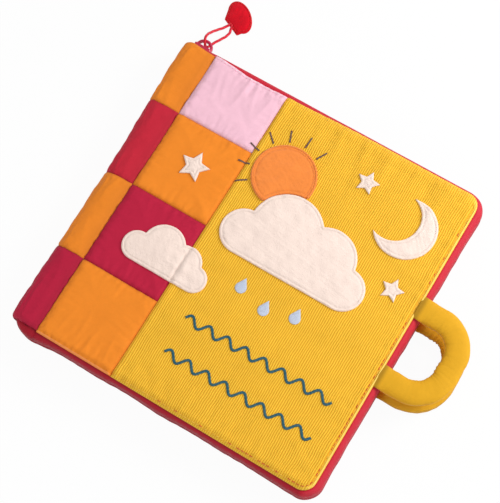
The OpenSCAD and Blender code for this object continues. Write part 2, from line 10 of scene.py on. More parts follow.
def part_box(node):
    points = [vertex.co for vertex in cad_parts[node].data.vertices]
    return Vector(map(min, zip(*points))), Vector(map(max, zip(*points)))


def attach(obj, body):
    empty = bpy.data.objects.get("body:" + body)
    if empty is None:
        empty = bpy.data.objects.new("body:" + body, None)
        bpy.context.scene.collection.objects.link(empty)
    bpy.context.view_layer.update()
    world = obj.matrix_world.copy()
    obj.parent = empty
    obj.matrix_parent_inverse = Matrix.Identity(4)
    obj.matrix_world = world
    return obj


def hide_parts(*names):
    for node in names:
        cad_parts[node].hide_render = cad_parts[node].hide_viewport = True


bl_info = {
    "name": "Cloth Book",
    "version": (1, 0, 0),
    "blender": (4, 5, 0),
    "location": "3D View > Sidebar > Cloth Book",
    "description": "Sews the visible cloth, zip and trimmings of a padded cloth book",
    "category": "Object",
}

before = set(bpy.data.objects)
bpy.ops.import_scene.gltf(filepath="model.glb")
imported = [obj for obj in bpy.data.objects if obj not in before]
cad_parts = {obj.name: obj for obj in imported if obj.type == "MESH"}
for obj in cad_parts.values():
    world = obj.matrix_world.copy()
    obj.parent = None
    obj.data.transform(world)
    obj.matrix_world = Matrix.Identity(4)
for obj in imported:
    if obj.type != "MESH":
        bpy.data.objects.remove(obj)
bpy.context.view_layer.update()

# Lengths in this script are millimetres until a mesh is made
MM = 0.001


def low(node):
    """Lowest corner of a node of the construction, in millimetres"""
    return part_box(node)[0] / MM


def high(node):
    """Highest corner of a node of the construction, in millimetres"""
    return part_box(node)[1] / MM


# Places taken from the construction
SEAM_X = low("back_panel").x
FORE_X = high("front_panel").x
HEAD_Y = high("front_panel").y
BOOK_T = high("front_panel").z
MID_Z = BOOK_T / 2
OUTER_Z = low("front_panel").z
PANEL_X = low("front_panel").x
PATCH_W = PANEL_X - SEAM_X
ROWS = [low(f"front_patch_{i}").y for i in (4, 3, 2, 1)] + [HEAD_Y]
CORNER_R = 10
SPINE_X = low("spine_patch_2").x
TAPE_T = 0.8
BULGE_HEAD = high("zip_tape_front").y - HEAD_Y - TAPE_T / 2
BULGE_TAIL = -HEAD_Y - low("zip_tape_front").y - TAPE_T / 2
BULGE_FORE = high("zip_tape_front").x - FORE_X - TAPE_T / 2


def patch_ends(i):
    """Tail and head ends of the patch with that number, counted from the head and from nought"""
    return ROWS[3 - i], ROWS[4 - i]


# The photograph's camera, solved from the cover's corners: place in metres, then its right, up and back
CAMERA_PLACE = (0.17203, -0.20783, 0.98034)
CAMERA_RIGHT = (0.854, 0.518, -0.0484)
CAMERA_UP = (-0.4861, 0.8277, 0.2805)
CAMERA_BACK = (0.1854, -0.216, 0.9586)
CAMERA_FOCAL_PX = 1400
IMAGE_LONG_SIDE_PX = 503
SENSOR_MM = 36

# Lamps: place in metres, and width
KEY_LAMP = ((0.58, 0.55, 0.6), 0.4)
FILL_LAMP = ((-0.1, -0.95, 0.75), 1.0)


def srgb(red, green, blue):
    """A colour as a paint chart gives it, 0 to 255, turned into the linear values that Blender keeps"""
    return tuple(
        c / 255 / 12.92 if c / 255 <= 0.04045 else ((c / 255 + 0.055) / 1.055) ** 2.4
        for c in (red, green, blue)
    )


def colour(label, about, red, green, blue):
    """A colour property with its default"""
    return bpy.props.FloatVectorProperty(
        name=label, description=about, subtype="COLOR", size=3, min=0, max=1, default=srgb(red, green, blue)
    )


def length(label, about, millimetres):
    """A length property with its default"""
    return bpy.props.FloatProperty(
        name=label, description=about, unit="LENGTH", subtype="DISTANCE", precision=5, default=millimetres * MM
    )


class ClothBookColours(bpy.types.PropertyGroup):
    corduroy: colour("Corduroy", "Crest of the yellow corduroy", 251, 203, 62)
    # Painted shade: the ground between the cords is darker to stand for the shadow there
    corduroy_valley: colour("Corduroy valley", "Ground between the cords", 222, 134, 10)
    pink: colour("Pink cotton", "Patch at the head", 245, 192, 208)
    orange: colour("Orange cotton", "Orange patches", 244, 137, 32)
    crimson: colour("Crimson cotton", "Crimson patches", 186, 18, 58)
    red: colour("Red cotton", "Red patch of the spine", 200, 30, 54)
    band: colour("Band cotton", "Carrying loops", 220, 162, 22)
    tape: colour("Zip tape", "Woven tape", 194, 12, 42)
    coil: colour("Zip coil", "Teeth of the zip", 128, 6, 26)
    enamel: colour("Slider enamel", "Painted metal of the slider", 196, 26, 74)
    cord: colour("Pull cord", "Round cord", 232, 42, 62)
    velour: colour("Velour", "Pull tab", 212, 14, 34)
    peach: colour("Peach plush", "Clouds, moon and stars", 247, 224, 212)
    sun: colour("Orange plush", "Sun disc", 246, 140, 62)
    brown: colour("Brown thread", "Outlines and rays", 112, 82, 74)
    teal: colour("Teal thread", "Waves", 0, 90, 106)
    satin: colour("Pale satin", "Raindrops", 205, 215, 236)
    cream: colour("Cream cotton", "Lining and pages", 244, 236, 218)
    wadding: colour("Wadding", "Filling of the covers", 245, 242, 232)
    stitch: colour("Topstitch thread", "Thread of the long seams", 250, 206, 84)
    stitch_red: colour("Red topstitch", "Red thread that shows in the topstitch", 214, 58, 44)
    stitch_pink: colour("Pink topstitch", "Thread on the pink patch", 214, 92, 138)
    stitch_orange: colour("Orange topstitch", "Thread on the orange patch", 206, 96, 34)


class ClothBookSizes(bpy.types.PropertyGroup):
    wale_pitch: length("Wale pitch", "Distance from one cord of the corduroy to the next", 1.6)
    wale_height: length("Wale height", "Height of a cord above the ground", 0.5)
    stitch_length: length("Stitch length", "Length of one topstitch", 2.6)
    stitch_inset: length("Stitch inset", "Distance of the topstitch from the cover's edge", 2.3)
    coil_pitch: length("Coil pitch", "Distance from one loop of the zip coil to the next", 1.6)
    fold_height: bpy.props.FloatProperty(
        name="Fold height", description="Strength of the folds in the cloth", default=1.0, min=0.0, max=2.0
    )


class ClothBookStage(bpy.types.PropertyGroup):
    sky: bpy.props.FloatProperty(name="Sky light", description="Level of the even light", default=0.56, min=0.0)
    key: bpy.props.FloatProperty(
        name="Key light", description="Power of the main lamp", default=7.2, min=0.0, unit="POWER"
    )
    fill: bpy.props.FloatProperty(
        name="Fill light", description="Power of the second lamp", default=2.6, min=0.0, unit="POWER"
    )


def hues():
    return bpy.context.scene.cloth_book_colours


def sizes():
    return bpy.context.scene.cloth_book_sizes


def chosen(name):
    """A length of the sizes group, in millimetres"""
    return getattr(sizes(), name) / MM


# Shader maths

class Wire:
    """A socket whose value can be used in sums, each of which adds its own Math node"""

    def __init__(self, finish, socket):
        self.finish = finish
        self.socket = socket

    def math(self, operation, *others):
        values = dict(enumerate([self, *others]))
        return self.finish.add("ShaderNodeMath", {"operation": operation}, values)

    def __add__(self, other):
        return self.math("ADD", other)

    def __sub__(self, other):
        return self.math("SUBTRACT", other)

    def __mul__(self, other):
        return self.math("MULTIPLY", other)

    def __radd__(self, other):
        return self + other

    def __rmul__(self, other):
        return self * other

    def __rsub__(self, other):
        return self * -1 + other

    def sine(self):
        return self.math("SINE")

    def limited(self):
        return self.math("MINIMUM", 1.0).math("MAXIMUM", 0.0)


class Finish:
    """One material, with short ways to add its nodes"""

    def __init__(self, name):
        self.material = bpy.data.materials.new(name)
        self.material.use_nodes = True
        self.tree = self.material.node_tree
        self.tree.nodes.clear()

    def add(self, kind, settings=None, values=None, output=0):
        """Adds a node: its settings first, then the values or links of its sockets"""
        node = self.tree.nodes.new(kind)
        for key, value in (settings or {}).items():
            setattr(node, key, value)
        for key, value in (values or {}).items():
            if isinstance(value, Wire):
                self.tree.links.new(value.socket, node.inputs[key])
            else:
                node.inputs[key].default_value = value
        return Wire(self, node.outputs[output])

    def place(self):
        """Position on the object, in millimetres, as three wires"""
        spot = self.add("ShaderNodeTexCoord", output=3)
        apart = self.add("ShaderNodeSeparateXYZ", values={0: spot})
        node = apart.socket.node
        return [Wire(self, node.outputs[i]) * (1 / MM) for i in range(3)]

    def clouded(self, size_mm, detail=2.0):
        """Noise from 0 to 1 with features of that size"""
        spot = self.add("ShaderNodeTexCoord", output=3)
        values = {"Vector": spot, "Scale": 1 / (size_mm * MM), "Detail": detail}
        return self.add("ShaderNodeTexNoise", values=values)

    def mark(self, name):
        """A value painted on the mesh"""
        return self.add("ShaderNodeAttribute", {"attribute_name": name}, output=2)

    def mixed(self, amount, first, second):
        """A colour between two colours"""
        kind = {"data_type": "RGBA", "clamp_factor": True}
        return self.add("ShaderNodeMix", kind, {0: amount, 6: first, 7: second}, output=2)

    def shaded(self, amount, hue, dark, light):
        """A hue that goes from darker to lighter as the amount goes from 0 to 1"""
        return self.mixed(amount, opaque(hue, dark), opaque(hue, light))

    def raised(self, height, depth_mm):
        """Normals of a surface with that height, from 0 to 1, on it"""
        values = {"Strength": 1.0, "Distance": depth_mm * MM, "Height": height}
        return self.add("ShaderNodeBump", values=values)

    def surface(self, base, roughness, normal, sheen=0.0, sheen_rough=0.5, coat=0.0, specular=0.3):
        """Closes the material with one Principled surface"""
        shader = self.add("ShaderNodeBsdfPrincipled", values={
            "Base Color": base, "Roughness": roughness, "Normal": normal, "Sheen Weight": sheen,
            "Sheen Roughness": sheen_rough, "Coat Weight": coat, "Specular IOR Level": specular,
        })
        self.add_output(shader)
        return self.material

    def add_output(self, shader):
        end = self.tree.nodes.new("ShaderNodeOutputMaterial")
        self.tree.links.new(shader.socket, end.inputs["Surface"])


def paler(hue, share):
    """A colour with its alpha, brightened and mixed with that share of white"""
    return (*(min(1.0, c * 1.15) * (1 - share) + share for c in hue), 1.0)


def opaque(hue, gain):
    """A colour with its alpha, made lighter or darker by gain"""
    return (*(min(1.0, c * gain) for c in hue), 1.0)


TWO_PI = 2 * math.pi


def ribs(wire, pitch_mm):
    """Even ribs across a wire of millimetres, from 0 to 1"""
    return (wire * (TWO_PI / pitch_mm)).sine() * 0.5 + 0.5


def woven_cotton(name, hue, sheen=0.08, thread_mm=0.55, seam_dark=0.36, mottling=1.0):
    """Plain weave cotton: faint threads and mottling, with painted shade in seams and a painted highlight on the
    rolled lip of an edge
    """
    f = Finish(name)
    x, y, z = f.place()
    weave = ribs(x + z, thread_mm) * 0.5 + ribs(y, thread_mm) * 0.5
    mottle = f.clouded(16.0) * 0.6 + f.clouded(2.2, 4.0) * 0.4
    dark = f.shaded(mottle, hue, 1 - 0.13 * mottling, 1 + 0.1 * mottling)
    threads = f.mixed(weave * 0.2 * mottling, dark, opaque(hue, 1.35))
    tone = f.mark("tone")
    # Painted shade: darker where the tone is below 1, in seams, along the topstitch and on the inner side
    base = f.mixed((1 - tone).limited() * seam_dark, threads, opaque(hue, 0.42))
    # Painted highlight: paler where the tone is above 1, on the rolled lip
    base = f.mixed((tone - 1).limited() * 0.6, base, paler(hue, 0.16))
    normal = f.raised(weave * 0.6 + f.clouded(1.1, 3.0) * 0.4, 0.12)
    return f.surface(base, 0.82 - mottle * 0.1, normal, sheen=sheen, sheen_rough=0.4)


def corduroy_cloth(name, crest, valley):
    """Corduroy: brushed pile, bright crests and a ground painted darker as the shade between the cords, and a
    painted highlight on the rolled lip, the height being in the mesh
    """
    f = Finish(name)
    y = f.place()[1]
    tone = f.mark("tone")
    mottle = f.clouded(22.0) * 0.5 + f.clouded(3.0, 4.0) * 0.5
    mottled_crest_and_seam_shade = f.shaded(mottle, crest, 0.88, 1.07)
    ground = f.shaded(mottle, valley, 0.85, 1.1)
    # Painted shade: the tone goes from the crests down to the shaded ground between the cords, and lower in seams
    # and along the topstitch
    base = f.mixed(tone.limited(), ground, mottled_crest_and_seam_shade)
    # Painted highlight on the rolled lip, where the tone passes 1
    base = f.mixed((tone - 1).limited() * 0.55, base, paler(crest, 0.22))
    pile = ribs(y + f.clouded(1.5, 2.0) * 1.2, 0.9) * 0.4 + f.clouded(0.7, 3.0) * 0.6
    normal = f.raised(pile, 0.16)
    return f.surface(base, 0.9 - tone.limited() * 0.08, normal, sheen=0.14, sheen_rough=0.35, specular=0.2)


def plush_cloth(name, hue, sheen=0.4, nap_mm=0.5, swept=0.1):
    """Short plush: fine nap, swept patches that are lighter or darker, a soft bright rim, and painted shade along
    the line where it is sewn down
    """
    f = Finish(name)
    sweep = f.clouded(9.0, 3.0) * 0.6 + f.clouded(1.6, 4.0) * 0.4
    base = f.shaded(sweep, hue, 1 - swept, 1 + swept)
    tone = f.mark("tone")
    # Painted shade along the sewn line, where the tone is low
    base = f.mixed((1 - tone).limited() * 0.3, base, opaque(hue, 0.62))
    nap = f.clouded(0.7, 5.0) * 0.6 + f.clouded(2.2, 3.0) * 0.4
    normal = f.raised(nap, nap_mm)
    return f.surface(base, 0.95, normal, sheen=sheen, sheen_rough=0.5, specular=0.1)


def satin_thread(name, hue, pitch_mm=0.5):
    """Satin stitch: close, glossy threads across the shape"""
    f = Finish(name)
    x, y, _ = f.place()
    lay = ribs(x * 0.35 + y * 0.94 + f.clouded(4.0) * 0.8, pitch_mm)
    base = f.shaded(lay, hue, 0.72, 1.15)
    normal = f.raised(lay, 0.14)
    return f.surface(base, 0.48 - lay * 0.08, normal, sheen=0.1, specular=0.5)


def zip_tape_cloth(name, hue):
    """Woven tape: fine ribs, with a painted highlight on the shoulder that faces up, and painted shade where it
    tucks in and at the teeth
    """
    f = Finish(name)
    x, y, z = f.place()
    around = ribs(x * 0.7 + y * 0.7, 0.7) * 0.5 + ribs(z, 0.8) * 0.5
    mottle = f.clouded(8.0, 3.0)
    base = f.shaded(mottle, hue, 0.88, 1.1)
    tone = f.mark("tone")
    # Painted shade: darker where the tone is low, where the tape tucks in, at the teeth and along the tail
    base = f.mixed((1 - tone * 2).limited() * 0.8, base, opaque(hue, 0.3))
    # Painted highlight: paler where the tone is high, on the shoulder that faces up
    base = f.mixed((tone * 2 - 1).limited() * 0.4, base, paler(hue, 0.05))
    normal = f.raised(around * 0.7 + f.clouded(0.8, 3.0) * 0.3, 0.12)
    return f.surface(base, 0.66 - mottle * 0.08, normal, sheen=0.08, sheen_rough=0.3, specular=0.25)


def nylon_coil(name, hue):
    """Nylon coil: smooth and half glossy, dusty between its loops"""
    f = Finish(name)
    dust = f.clouded(5.0, 4.0)
    base = f.shaded(dust, hue, 0.8, 1.25)
    return f.surface(base, 0.34 + dust * 0.2, f.raised(dust, 0.03), specular=0.5)


def slider_enamel(name, hue):
    """Enamelled metal: slight orange peel, and paler in small spots where the paint is rubbed"""
    f = Finish(name)
    wear = ((f.clouded(1.3, 4.0) - 0.6) * 7.0).limited()
    base = f.shaded(wear * 0.35, hue, 1.0, 1.8)
    normal = f.raised(f.clouded(0.8, 2.0), 0.02)
    return f.surface(base, 0.32 + wear * 0.25, normal, coat=0.35, specular=0.5)


def twisted_cord(name, hue):
    """Round cord: dull threads, with painted highlights on the strands' crests and painted shade in the grooves
    between them
    """
    f = Finish(name)
    tone = f.mark("tone")
    base = f.shaded(tone, hue, 0.6, 1.12)
    normal = f.raised(f.clouded(0.5, 4.0), 0.12)
    return f.surface(base, 0.8, normal, sheen=0.35, sheen_rough=0.4)


def sewing_thread(name, hue):
    """Sewing thread: fine twist and a slight gloss"""
    f = Finish(name)
    x, y, _ = f.place()
    twist = ribs(x + y * 1.3, 0.35)
    base = f.shaded(twist, hue, 0.8, 1.1)
    return f.surface(base, 0.55, f.raised(twist, 0.05), specular=0.4)


# Meshes

# Tone of the side of a cloth that lies inside, set below 1 so that this side is painted darker as shade
INNER_SHADE_TONE = 0.6


def linked(name, data):
    """A new object in the scene"""
    made = bpy.data.objects.new(name, data)
    bpy.context.scene.collection.objects.link(made)
    return made


def piece(name, points, faces, finish, body, replaces=(), slot=None, tone=None):
    """A mesh from points in millimetres, with its finish, on its body, in place of the nodes it stands for"""
    mesh = bpy.data.meshes.new(name)
    mesh.from_pydata((np.asarray(points, float) * MM).tolist(), [], faces)
    mesh.validate()
    if tone is not None:
        mark = mesh.attributes.new("tone", "FLOAT", "POINT")
        mark.data.foreach_set("value", np.asarray(tone, np.float32))
    mesh.shade_smooth()
    mesh.materials.append(finish)
    made = linked(name, mesh)
    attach(made, body)
    if replaces:
        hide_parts(*replaces)
    return made


def smooth_step(t):
    t = np.clip(t, 0, 1)
    return t * t * (3 - 2 * t)


def bump(distance, width):
    """1 where the distance is nought, fading softly to 0 on both sides"""
    return np.exp(-((distance / width) ** 2))


def groove(distance, width, depth):
    return -depth * bump(distance, width)


def run_along(path):
    """How far along a path each of its points is"""
    return np.concatenate([[0], np.cumsum(np.linalg.norm(np.diff(path, axis=0), axis=1))])


def spots_at(far, run, path):
    """Places along a path at those distances"""
    return np.stack([np.interp(far, run, column) for column in np.asarray(path).T], -1)


def heading(degrees):
    return math.cos(math.radians(degrees)), math.sin(math.radians(degrees))


NOISE_WAVES = 7


def soft_noise(x, y, size, seed):
    """A calm random surface from about -1 to 1, made of a few long waves"""
    rng = np.random.RandomState(seed)
    total = 0.0
    for _ in range(NOISE_WAVES):
        angle = rng.uniform(0, TWO_PI)
        k = TWO_PI / size * rng.uniform(0.55, 1.5)
        total = total + np.sin(k * (x * np.cos(angle) + y * np.sin(angle)) + rng.uniform(0, TWO_PI))
    return total / math.sqrt(NOISE_WAVES)


def fold(x, y, x0, y0, x1, y1, width, height, bend=0.0):
    """A soft ridge, or a furrow where height is negative, from one point to another, fading at both ends"""
    run = np.array([x1 - x0, y1 - y0], float)
    size = math.hypot(*run)
    t = ((x - x0) * run[0] + (y - y0) * run[1]) / size ** 2
    across = ((x - x0) * -run[1] + (y - y0) * run[0]) / size
    across = across - bend * np.sin(np.clip(t, 0, 1) * math.pi)
    fade = smooth_step((t + 0.12) / 0.3) * smooth_step((1.05 - t) / 0.6)
    return height * fade * bump(across, width)


def grid_faces(rows, columns, offset=0, flip=False):
    """Quads over a grid whose points run along its columns first"""
    faces = []
    for j in range(rows - 1):
        for i in range(columns - 1):
            a = offset + j * columns + i
            quad = (a, a + 1, a + columns + 1, a + columns)
            faces.append(quad[::-1] if flip else quad)
    return faces


def grid_rim(rows, columns):
    """Point numbers round a grid's edge, in order"""
    return (
        list(range(columns))
        + [j * columns + columns - 1 for j in range(1, rows)]
        + [(rows - 1) * columns + i for i in range(columns - 2, -1, -1)]
        + [j * columns for j in range(rows - 2, 0, -1)]
    )


def closing(rim, under):
    """Quads that join the rim of one skin to the same points of the skin under it"""
    return [(a, under + a, under + b, b) for a, b in zip(rim[-1:] + rim[:-1], rim)]


def cloth_pad(name, outer, inner, tone, finish, body, flip=False, **words):
    """A closed pad between two grids of points"""
    rows, columns = outer.shape[:2]
    n = rows * columns
    faces = grid_faces(rows, columns) + grid_faces(rows, columns, n, flip=True)
    faces += closing(grid_rim(rows, columns), n)
    if flip:
        faces = [face[::-1] for face in faces]
    points = np.concatenate([outer.reshape(-1, 3), inner.reshape(-1, 3)])
    tone = np.concatenate([tone.ravel(), np.full(n, INNER_SHADE_TONE)])
    return piece(name, points, faces, finish, body, tone=tone, **words)


def tube_faces(rings, sides, first=0):
    """Quads between rings of points that follow one another, with a cap at each end"""
    faces = []
    for k in range(rings - 1):
        for i in range(sides):
            a, b = first + k * sides + i, first + k * sides + (i + 1) % sides
            faces.append((a, b, b + sides, a + sides))
    last = first + (rings - 1) * sides
    faces.append(tuple(range(first, first + sides))[::-1])
    faces.append(tuple(range(last, last + sides)))
    return faces


def tube(name, rings, finish, body, tone=None, **words):
    """A skin over rings of points"""
    rings = np.asarray(rings, float)
    tone = None if tone is None else np.asarray(tone).ravel()
    return piece(name, rings.reshape(-1, 3), tube_faces(*rings.shape[:2]), finish, body, tone=tone, **words)


# Cloth that settles between its seams

SETTLE_SCALE = 10
SETTLE_FRAMES = 20
SETTLE_PRESSURE = 1.5
# The furthest that a point may move
SETTLE_CAP = 12


def settled(points, faces, held, fullness, growth, bending):
    """Runs the cloth simulation on a copy at ten times its size, and gives the points where it comes to rest.

    held marks the points that are sewn down. fullness is 0 where the cloth fits and 1 where it has the most
    extra length, which growth gives.
    """
    points = np.asarray(points, float)
    scene = bpy.context.scene
    size = SETTLE_SCALE * MM
    mesh = bpy.data.meshes.new("settling_cloth")
    mesh.from_pydata((points * size).tolist(), [], faces)
    copy = linked("settling_cloth", mesh)
    sewn = copy.vertex_groups.new(name="sewn")
    sewn.add([int(i) for i in np.flatnonzero(held)], 1.0, "REPLACE")
    fitted = copy.vertex_groups.new(name="fitted")
    for i, value in enumerate(1 - np.asarray(fullness, float)):
        fitted.add([i], float(value), "REPLACE")
    cloth = copy.modifiers.new("cloth", "CLOTH")
    rules = cloth.settings
    rules.quality = 6
    rules.mass = 0.2
    rules.tension_stiffness = rules.compression_stiffness = 15
    rules.shear_stiffness = 5
    rules.bending_stiffness = bending
    rules.air_damping = 2
    rules.use_pressure = True
    rules.uniform_pressure_force = SETTLE_PRESSURE
    rules.vertex_group_mass = "sewn"
    rules.vertex_group_shrink = "fitted"
    rules.shrink_min = -growth
    rules.shrink_max = -0.01
    rules.effector_weights.gravity = 0
    cloth.point_cache.frame_start = 1
    cloth.point_cache.frame_end = SETTLE_FRAMES
    for number in range(1, SETTLE_FRAMES + 1):
        scene.frame_set(number)
    rested = copy.evaluated_get(bpy.context.evaluated_depsgraph_get()).data
    found = np.array([tuple(v.co) for v in rested.vertices]) / size
    bpy.data.objects.remove(copy)
    bpy.data.meshes.remove(mesh)
    scene.frame_set(1)
    move = found - points
    far = np.linalg.norm(move, axis=1)[:, None]
    return points + move * SETTLE_CAP * np.tanh(far / SETTLE_CAP) / np.maximum(far, 1e-9)


def blurred(heights, reach):
    """Heights averaged over that many grid steps"""
    weights = np.exp(-np.linspace(-2, 2, 2 * reach + 1) ** 2)
    weights /= weights.sum()
    padded = np.pad(heights, reach, mode="edge")
    padded = np.apply_along_axis(np.convolve, 0, padded, weights, "valid")
    return np.apply_along_axis(np.convolve, 1, padded, weights, "valid")


def gathered_sheet(width, height, step, edges, growth, bending, seed):
    """Puckers of a sheet sewn down all round; edges says how full it is at the left, right, tail and head"""
    columns, rows = round(width / step) + 1, round(height / step) + 1
    x, y = np.meshgrid(np.linspace(0, width, columns), np.linspace(0, height, rows))
    rng = np.random.RandomState(seed)
    sides = (x, width - x, y, height - y)
    near = np.minimum.reduce(sides)
    fullness = np.maximum.reduce([share * np.exp(-d / 8) for share, d in zip(edges, sides)])
    lift = np.where(near > 0.01, 0.06 * rng.uniform(-1, 1, x.shape), 0)
    flat = np.stack([x, y, lift], -1).reshape(-1, 3)
    held = (near < 0.01).ravel()
    rest = settled(flat, grid_faces(rows, columns), held, fullness.ravel(), growth, bending)
    z = rest[:, 2].reshape(rows, columns)
    return blurred(z - blurred(z, 8), 1)


SETTLED = {}


def puckers(name, u, v):
    """Height of a settled sheet's puckers at u across and v up from its tail corner"""
    if name not in SETTLED:
        return 0 * u
    step, z = SETTLED[name]
    i = np.clip(u / step[0], 0, z.shape[1] - 1.001)
    j = np.clip(v / step[1], 0, z.shape[0] - 1.001)
    i0, j0 = i.astype(int), j.astype(int)
    a, b = i - i0, j - j0
    return ((z[j0, i0] * (1 - a) + z[j0, i0 + 1] * a) * (1 - b)
            + (z[j0 + 1, i0] * (1 - a) + z[j0 + 1, i0 + 1] * a) * b)


# The front cover's surface

def cover_depth(x, y):
    """Distance inside the front cover's rim, which is round at the fore edge, and open at the spine"""
    from_fore = FORE_X - x
    from_ends = HEAD_Y - np.abs(y)
    dx = np.maximum(CORNER_R - from_fore, 0)
    dy = np.maximum(CORNER_R - from_ends, 0)
    in_corner = CORNER_R - np.hypot(dx, dy)
    return np.where((dx > 0) & (dy > 0), in_corner, np.minimum(from_fore, from_ends))


# Folds of the patches as (x from the seam, y from the tail), start then end, width, height and bend
PATCH_FOLDS = [
    (8, 236, 15, 205, 1.8, 0.9, 1.5), (14, 237, 24, 210, 1.5, 0.7, -1.0), (33, 238, 29, 206, 1.9, 1.0, 1.0),
    (41, 237, 46, 212, 1.6, 0.8, -1.2), (54, 236, 49, 208, 1.7, 0.7, 1.0), (4, 214, 40, 196, 2.4, 0.7, 2.0),
    (58, 200, 30, 224, 2.6, -0.5, 2.0),
    (3, 184, 30, 166, 2.2, 0.8, 2.0), (60, 184, 40, 158, 2.2, 0.7, -2.0), (5, 132, 32, 148, 2.5, 0.7, 2.0),
    (24, 187, 27, 168, 1.5, 0.6, 0.5), (59, 131, 38, 145, 2.4, 0.7, -1.5), (46, 188, 43, 172, 1.4, 0.5, 0.5),
    (3, 122, 26, 104, 2.2, 0.8, 2.0), (60, 123, 41, 106, 2.4, 0.8, -2.0), (4, 66, 27, 80, 2.4, 0.8, 2.0),
    (60, 66, 38, 82, 2.3, 0.7, -2.0), (33, 64, 31, 84, 1.5, 0.6, 0.7), (17, 125, 21, 108, 1.4, 0.5, 0.5),
    (13, 4, 18, 34, 1.5, 0.9, 1.0), (20, 3, 24, 24, 1.3, 0.6, 0.5), (27, 4, 26, 38, 1.7, 1.0, -1.0),
    (37, 3, 40, 30, 1.5, 0.9, 1.0), (46, 4, 44, 22, 1.3, 0.6, 0.5), (54, 3, 51, 30, 1.6, 0.7, 1.0),
    (5, 56, 24, 40, 2.2, 0.7, 1.5), (60, 57, 42, 42, 2.2, 0.7, -1.5), (34, 60, 33, 46, 1.4, 0.5, 0.5),
]
# Folds of the corduroy, in the same form
PANEL_FOLDS = [
    (64, 236, 66, 150, 2.6, 0.8, 1.0), (70, 120, 66, 30, 2.4, 0.6, -1.0),
    (92, 239, 98, 214, 2.6, 0.8, 1.0), (110, 239, 114, 208, 3.0, 0.9, 1.5), (132, 239, 131, 212, 2.8, 0.8, 1.0),
    (128, 236, 134, 186, 3.6, -1.3, 1.0), (150, 239, 156, 205, 3.2, 1.0, -1.0),
    (171, 239, 172, 214, 2.8, 0.8, 1.0), (181, 238, 187, 212, 3.0, -1.1, 1.0),
    (197, 238, 193, 190, 3.4, 0.9, 1.0), (206, 232, 190, 214, 3.0, 0.9, 1.0), (221, 206, 200, 196, 2.8, 0.8, 1.0),
    (221, 176, 204, 172, 2.6, 0.7, 1.0), (221, 60, 196, 66, 2.8, 0.8, 1.0), (221, 38, 198, 42, 2.4, 0.7, -1.0),
    (214, 14, 192, 30, 2.8, 0.9, 1.0), (178, 3, 176, 24, 2.4, 0.6, 1.0), (150, 3, 152, 22, 2.4, 0.6, -1.0),
    (120, 3, 118, 26, 2.6, 0.7, 1.0), (94, 3, 96, 24, 2.4, 0.6, 1.0), (74, 3, 78, 28, 2.4, 0.6, 1.0),
    (184, 150, 176, 138, 3.0, 0.5, 1.0),
]
SEAM_DIP = 1.0
RIM_R = 1.3
FOLD_STRENGTH = 0.55
SPINE_FOLD_STRENGTH = 0.6
PATCH_PUCKER = 0.8
PANEL_PUCKER = 0.45
SPINE_PUCKER = 0.45
# Height above the cover that its cloth near the spine keeps to, so that it stays clear of the spine when open
NEAR_SPINE_RISE = 0.5
SPINE_DROP = 0.6


def rim_roll(depth):
    """How far the cloth has turned down at that distance inside the rim"""
    t = np.clip(1 - depth / RIM_R, 0, 1)
    return -RIM_R * (1 - np.sqrt(np.clip(1 - t * t, 0, 1)))


def below(z, limit):
    """Heights eased off so that none passes the limit"""
    return limit - 0.3 * np.logaddexp(0, (limit - z) / 0.3)


def folds(x, y, lines):
    return sum(fold(x, y, *line) for line in lines)


def from_seams(x, y):
    """Distance from the nearest seam beside or between the patches"""
    u = x - SEAM_X
    near = np.minimum(np.abs(u), np.abs(u - PATCH_W))
    for row in ROWS[1:4]:
        near = np.where(u < PATCH_W, np.minimum(near, np.abs(y - row)), near)
    return near


def cover_height(x, y):
    """Height of the front cover's cloth, without the corduroy's cords"""
    u, v = x - SEAM_X, y + HEAD_Y
    depth = cover_depth(x, y)
    from_stitch = depth - chosen("stitch_inset")
    from_panel = u - PATCH_W
    on_patch = u < PATCH_W
    # The rolled rim, the line that the topstitch presses in, the swell inside it and the rim's small puckers
    z = BOOK_T + rim_roll(depth) + groove(from_stitch, 0.6, 0.8) + 0.5 * bump(from_stitch - 2.6, 1.8)
    z = z + 0.22 * soft_noise(u * 1.4, v, 5.5, 3) * np.exp(-depth / 4.5)
    # The seams at the corduroy, the spine and between the patches, with their puckers
    z = z + groove(from_panel, 1.1, SEAM_DIP) + 0.55 * bump(from_panel - 3.4, 2.3) + groove(u, 2.6, 1.4)
    for row in ROWS[1:4]:
        z = z + np.where(on_patch, groove(y - row, 1.2, SEAM_DIP), 0)
    gathers = 0.3 * soft_noise(u, v, 6.5, 11) * np.exp(-from_seams(x, y) / 4.5)
    z = z + np.where(on_patch, gathers, 0)
    # Folds, the puckers of the settled cloth, and long soft waves
    strength = FOLD_STRENGTH * sizes().fold_height
    z = z + strength * np.where(on_patch, folds(u, v, PATCH_FOLDS), folds(u, v, PANEL_FOLDS))
    for i in range(4):
        y0, y1 = patch_ends(i)
        inside = on_patch & (y >= y0) & (y < y1 + (i == 0))
        z = z + np.where(inside, PATCH_PUCKER * puckers(f"patch_{i + 1}", u, y - y0), 0)
    z = z + np.where(on_patch, 0, PANEL_PUCKER * puckers("panel", from_panel, v))
    z = z + 0.28 * soft_noise(u, v, 46, 5) + 0.12 * soft_noise(u, v, 17, 8)
    near_spine = 1 - smooth_step((u - 26) / 5)
    z = z + near_spine * (below(z, BOOK_T + NEAR_SPINE_RISE) - z)
    return np.maximum(z, OUTER_Z + 0.4)


def head_pull(x, y, z):
    """How far the cloth stands out over the zip at the head of the spine: along X and along Y"""
    u = x - SEAM_X
    front = smooth_step((z - 5) / 13)
    dx = -3.0 * smooth_step(-u / 22) * smooth_step((y - 5) / 95) * front
    reach = 2.6 * (1 - smooth_step(u / 34)) + 2.2 * smooth_step(-u / 20)
    dy = reach * smooth_step((y - 92) / 28) * front
    return dx, dy


